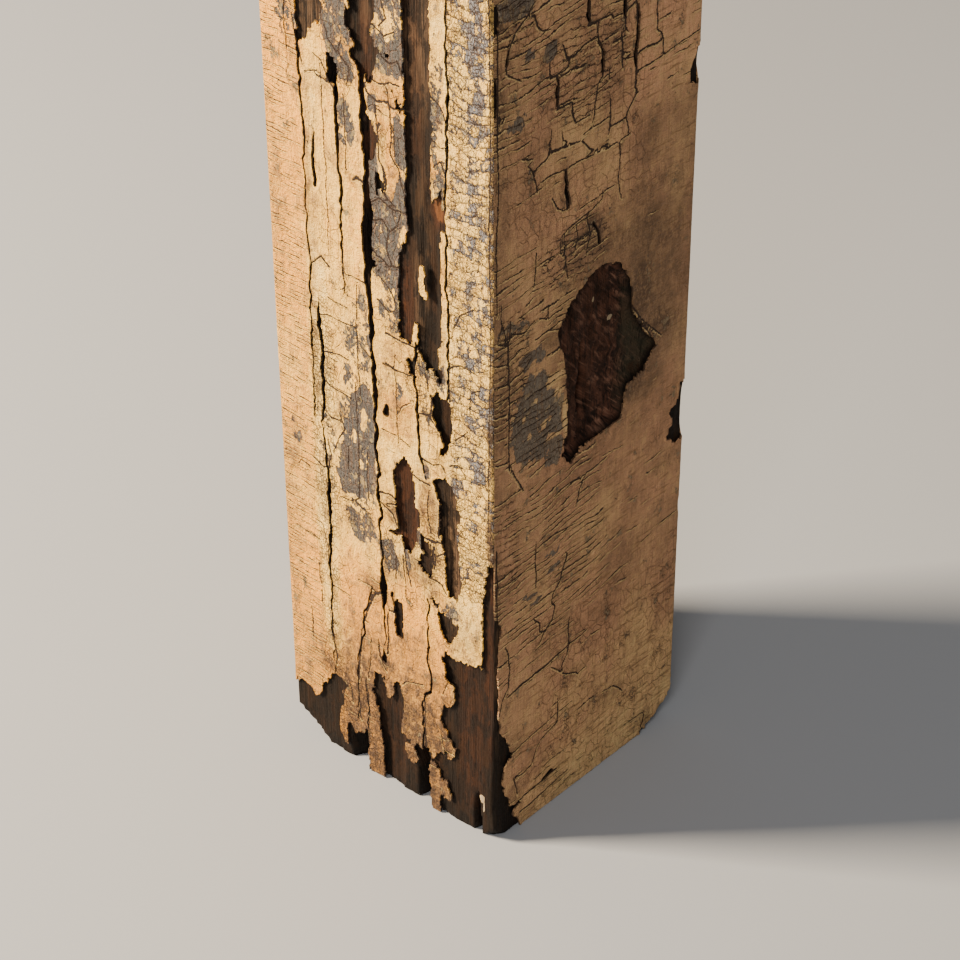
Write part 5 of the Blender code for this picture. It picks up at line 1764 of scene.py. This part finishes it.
def paint_look(paint, face):
    """The values that a face's paint material takes."""
    colours = {name: rgba(getattr(paint, name)) for name in ("cream", "tan", "chalk_and_highlight", "primer",
        "primer_deep", "primer_clean", "soil", "stain", "crack", "smut")}
    # On all faces but the front, the primer, the cracks and the cream are shaded copies: painted shade, partly
    # given as dust
    if face != "front":
        shaded = rgba(paint.primer_shaded)
        colours.update(primer=shaded, primer_clean=shaded,
            primer_deep=rgba([0.45 * part for part in paint.primer_shaded]))
        colours["crack"] = rgba([1.7 * part for part in paint.crack])
        for name, share in (("cream", 0.85), ("tan", 1.0), ("chalk_and_highlight", 0.6)):
            share = share * paint.dust_and_shade_share * DUST_AND_SHADE_BY_FACE[face]
            colours[name] = rgba([mixed(own, dust, share) for own, dust in zip(colours[name], paint.dust)])
    common = {"pitch": 2.1, "slope": 0.03, "check_width": 0.14, "check_run": 0.06,
        "check_strength": 0.85, "relief": 2.4, "ripple": 0.35, "lip": 0.5, "pits": 0.9, "mottle": 0.32,
        "wrinkles": 0.16, "grime_and_shade": 0.75, "ripple_scale": (0.16, 0.9, 1.0), "row_pitch": 5.6,
        "row_length": 6.4, "row_wear": 1.0, "dirt": (0.35, 1.15)}
    by_face = {"front": {}, "right": {"pitch": 3.4, "slope": 0.08, "check_width": 0.25,
        "check_run": 0.034, "check_strength": 1.0, "relief": 2.3, "ripple": 1.6, "lip": 1.1, "pits": 0.8,
        "mottle": 0.2, "wrinkles": 0.6, "grime_and_shade": 0.0, "ripple_scale": (0.055, 0.48, 1.0),
        "row_pitch": 4.2, "row_length": 9.0, "row_wear": 0.25, "dirt": (0.62, 1.08)}}
    return {**common, **colours, **by_face["front" if face == "front" else "right"]}


def make_coat(coat, context):
    """One face's paint: a flat grid, torn open, bent round the post, lifted and thickened."""
    paint = context.scene.porch_post_paint
    heights = row_heights(coat.row_step, 9.0)
    heights[0] = 0.6
    widths = np.linspace(*coat.span, coat.columns)
    piece = grid_sheet(coat.name, coat.columns, len(heights))
    across, height = np.meshgrid(widths, heights)
    flat = np.stack([across, height, across * 0], axis=-1).reshape(-1, 3)
    move_to(piece.data, flat)
    tear_open(piece, coat)

    flat = places(piece.data)
    across, height = flat[:, 0], flat[:, 1]
    kept = coat.kept(across, height)
    depth = -lifted(coat, across, height, kept, paint.curl / MM)
    x, y = wrapped(coat.face, across, depth)
    x, y = worn(x, y, height)
    move_to(piece.data, np.stack([x, y, height], axis=-1) * MM)
    for name, values in surface_state(coat.face, across, height, coat.seed).items():
        mark(piece.data, name, values)
    mark(piece.data, "place", flat + np.array([coat.seed * 40.0, 0, 0]))
    mark(piece.data, "primer", bared_primer(coat.face, across, height, coat.seed))
    mark(piece.data, "edge", np.clip(kept, 0, 4))
    wander = lumps(across, height, 5, 5, coat.seed + 17)
    way, apart = way_to_cracks(coat.drawn, across + 0.7 * wander, height - 0.7 * wander)
    mark(piece.data, "crack_way", np.clip(way, -9, 9))
    mark(piece.data, "crack_apart", np.clip(apart, 0, 9))

    face_outwards(piece, coat.face)
    select_only(piece)
    skin = piece.modifiers.new("thickness", "SOLIDIFY")
    skin.thickness = paint.thickness
    skin.offset = -1.0
    bpy.ops.object.modifier_apply(modifier=skin.name)
    bpy.ops.object.shade_smooth_by_angle(angle=math.radians(42))
    name = f"old_paint_{coat.face}"
    material = bpy.data.materials.get(name) or paint_material(name, paint_look(paint, coat.face),
        groups_in_use())
    finish_piece(piece, (material,))


def face_outwards(piece, face):
    """Turn an open sheet over if it looks into the post."""
    outward = FACES[face][1]
    total = Vector((0, 0, 0))
    for polygon in piece.data.polygons:
        total += polygon.normal * polygon.area
    if total.dot(outward) < 0:
        piece.data.flip_normals()


class PORCHPOST_OT_shown_coats(bpy.types.Operator):
    """Make the paint on the two faces that the photo shows"""

    bl_idname = "porch_post.shown_coats"
    bl_label = "Paint, shown faces"

    def execute(self, context):
        for coat in COATS:
            if coat.face in SHOWN_FACES:
                make_coat(coat, context)
        return {"FINISHED"}


class PORCHPOST_OT_hidden_coats(bpy.types.Operator):
    """Make the plainer paint on the two hidden faces"""

    bl_idname = "porch_post.hidden_coats"
    bl_label = "Paint, hidden faces"

    def execute(self, context):
        for coat in COATS:
            if coat.face not in SHOWN_FACES:
                make_coat(coat, context)
        return {"FINISHED"}


IMAGE_SIDE = 960
NEAR_FOOT_IN_IMAGE = (494.62, 844.90)
SENSOR = 36.0


def camera_place(stage):
    """The camera's matrix from the near foot's place in the image."""
    turn = Matrix.Rotation(stage.turn, 3, "Z")
    level = turn @ Vector((1, 0, 0))
    ahead = turn @ Vector((0, math.cos(stage.pitch), -math.sin(stage.pitch)))
    down = ahead.cross(level)
    right = level * math.cos(stage.roll) + down * math.sin(stage.roll)
    below = down * math.cos(stage.roll) - level * math.sin(stage.roll)
    focal = stage.lens / SENSOR * IMAGE_SIDE
    aside, lower = ((at - IMAGE_SIDE / 2) / focal * stage.distance for at in NEAR_FOOT_IN_IMAGE)
    near_foot = Vector((HIGH_CORNER.x, LOW_CORNER.y, LOW_CORNER.z))
    place = near_foot - right * aside - below * lower - ahead * stage.distance
    axes = Matrix((right, -below, -ahead)).transposed().to_4x4()
    return Matrix.Translation(place) @ axes


def area_light(name, place, aim, size, power, colour):
    """A square soft light that points at a place."""
    data = bpy.data.lights.new(name, "AREA")
    data.shape = "SQUARE"
    data.size = size
    data.energy = power
    data.color = colour
    lamp = bpy.data.objects.new(name, data)
    bpy.context.scene.collection.objects.link(lamp)
    lamp.location = place
    lamp.rotation_euler = (Vector(aim) - Vector(place)).to_track_quat("-Z", "Y").to_euler()


class PORCHPOST_OT_stage(bpy.types.Operator):
    """Set the plain floor, the soft lights and the camera"""

    bl_idname = "porch_post.stage"
    bl_label = "Floor, lights and camera"

    def execute(self, context):
        stage = context.scene.porch_post_stage
        bpy.ops.object.select_all(action="DESELECT")
        bpy.ops.mesh.primitive_plane_add(size=stage.floor_size, location=(0, 0, 0))
        floor = bpy.context.active_object
        floor.name = "floor"
        floor.data.materials.append(floor_material(stage.floor))

        aim = (0, 0, 0.22)
        area_light("key", (-1.95, -1.75, 1.65), aim, 0.6, stage.key, (1.0, 0.80, 0.56))
        area_light("fill", (1.2, -1.9, 2.1), aim, 0.8, stage.fill, (1.0, 0.93, 0.85))
        world = bpy.data.worlds.new("soft_room")
        world.use_nodes = True
        glow = world.node_tree.nodes["Background"]
        glow.inputs["Color"].default_value = (1.0, 0.96, 0.90, 1.0)
        glow.inputs["Strength"].default_value = stage.ambient
        context.scene.world = world

        data = bpy.data.cameras.new("camera")
        data.lens = stage.lens
        data.sensor_width = SENSOR
        camera = bpy.data.objects.new("camera", data)
        context.scene.collection.objects.link(camera)
        camera.matrix_world = camera_place(stage)
        context.scene.camera = camera
        return {"FINISHED"}


class PORCHPOST_PT_panel(bpy.types.Panel):
    """The post's pieces, sizes and colours"""

    bl_label = "Porch post"
    bl_idname = "PORCHPOST_PT_panel"
    bl_space_type = "VIEW_3D"
    bl_region_type = "UI"
    bl_category = "Porch post"

    def draw(self, context):
        for label, group in (("Timber", "porch_post_timber"), ("Paint", "porch_post_paint"),
                             ("Stage", "porch_post_stage")):
            box = self.layout.box()
            box.label(text=label)
            settings = getattr(context.scene, group)
            for name in settings.__annotations__:
                box.prop(settings, name)
        for operator in OPERATORS:
            self.layout.operator(operator.bl_idname)


GROUPS = {
    "porch_post_timber": PORCHPOST_PG_timber,
    "porch_post_paint": PORCHPOST_PG_paint,
    "porch_post_stage": PORCHPOST_PG_stage,
}
OPERATORS = (PORCHPOST_OT_stage, PORCHPOST_OT_timber, PORCHPOST_OT_shown_coats, PORCHPOST_OT_hidden_coats)


def register():
    """Add the settings, the operators and the panel."""
    for name, group in GROUPS.items():
        bpy.utils.register_class(group)
        setattr(bpy.types.Scene, name, bpy.props.PointerProperty(type=group))
    for operator in OPERATORS:
        bpy.utils.register_class(operator)
    bpy.utils.register_class(PORCHPOST_PT_panel)


def unregister():
    """Take them away again."""
    bpy.utils.unregister_class(PORCHPOST_PT_panel)
    for operator in reversed(OPERATORS):
        bpy.utils.unregister_class(operator)
    for name, group in GROUPS.items():
        delattr(bpy.types.Scene, name)
        bpy.utils.unregister_class(group)


def main():
    """Register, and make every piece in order."""
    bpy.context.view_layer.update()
    register()
    bpy.ops.porch_post.stage()
    bpy.ops.porch_post.timber()
    bpy.ops.porch_post.shown_coats()
    bpy.ops.porch_post.hidden_coats()


if __name__ == "__main__":
    main()
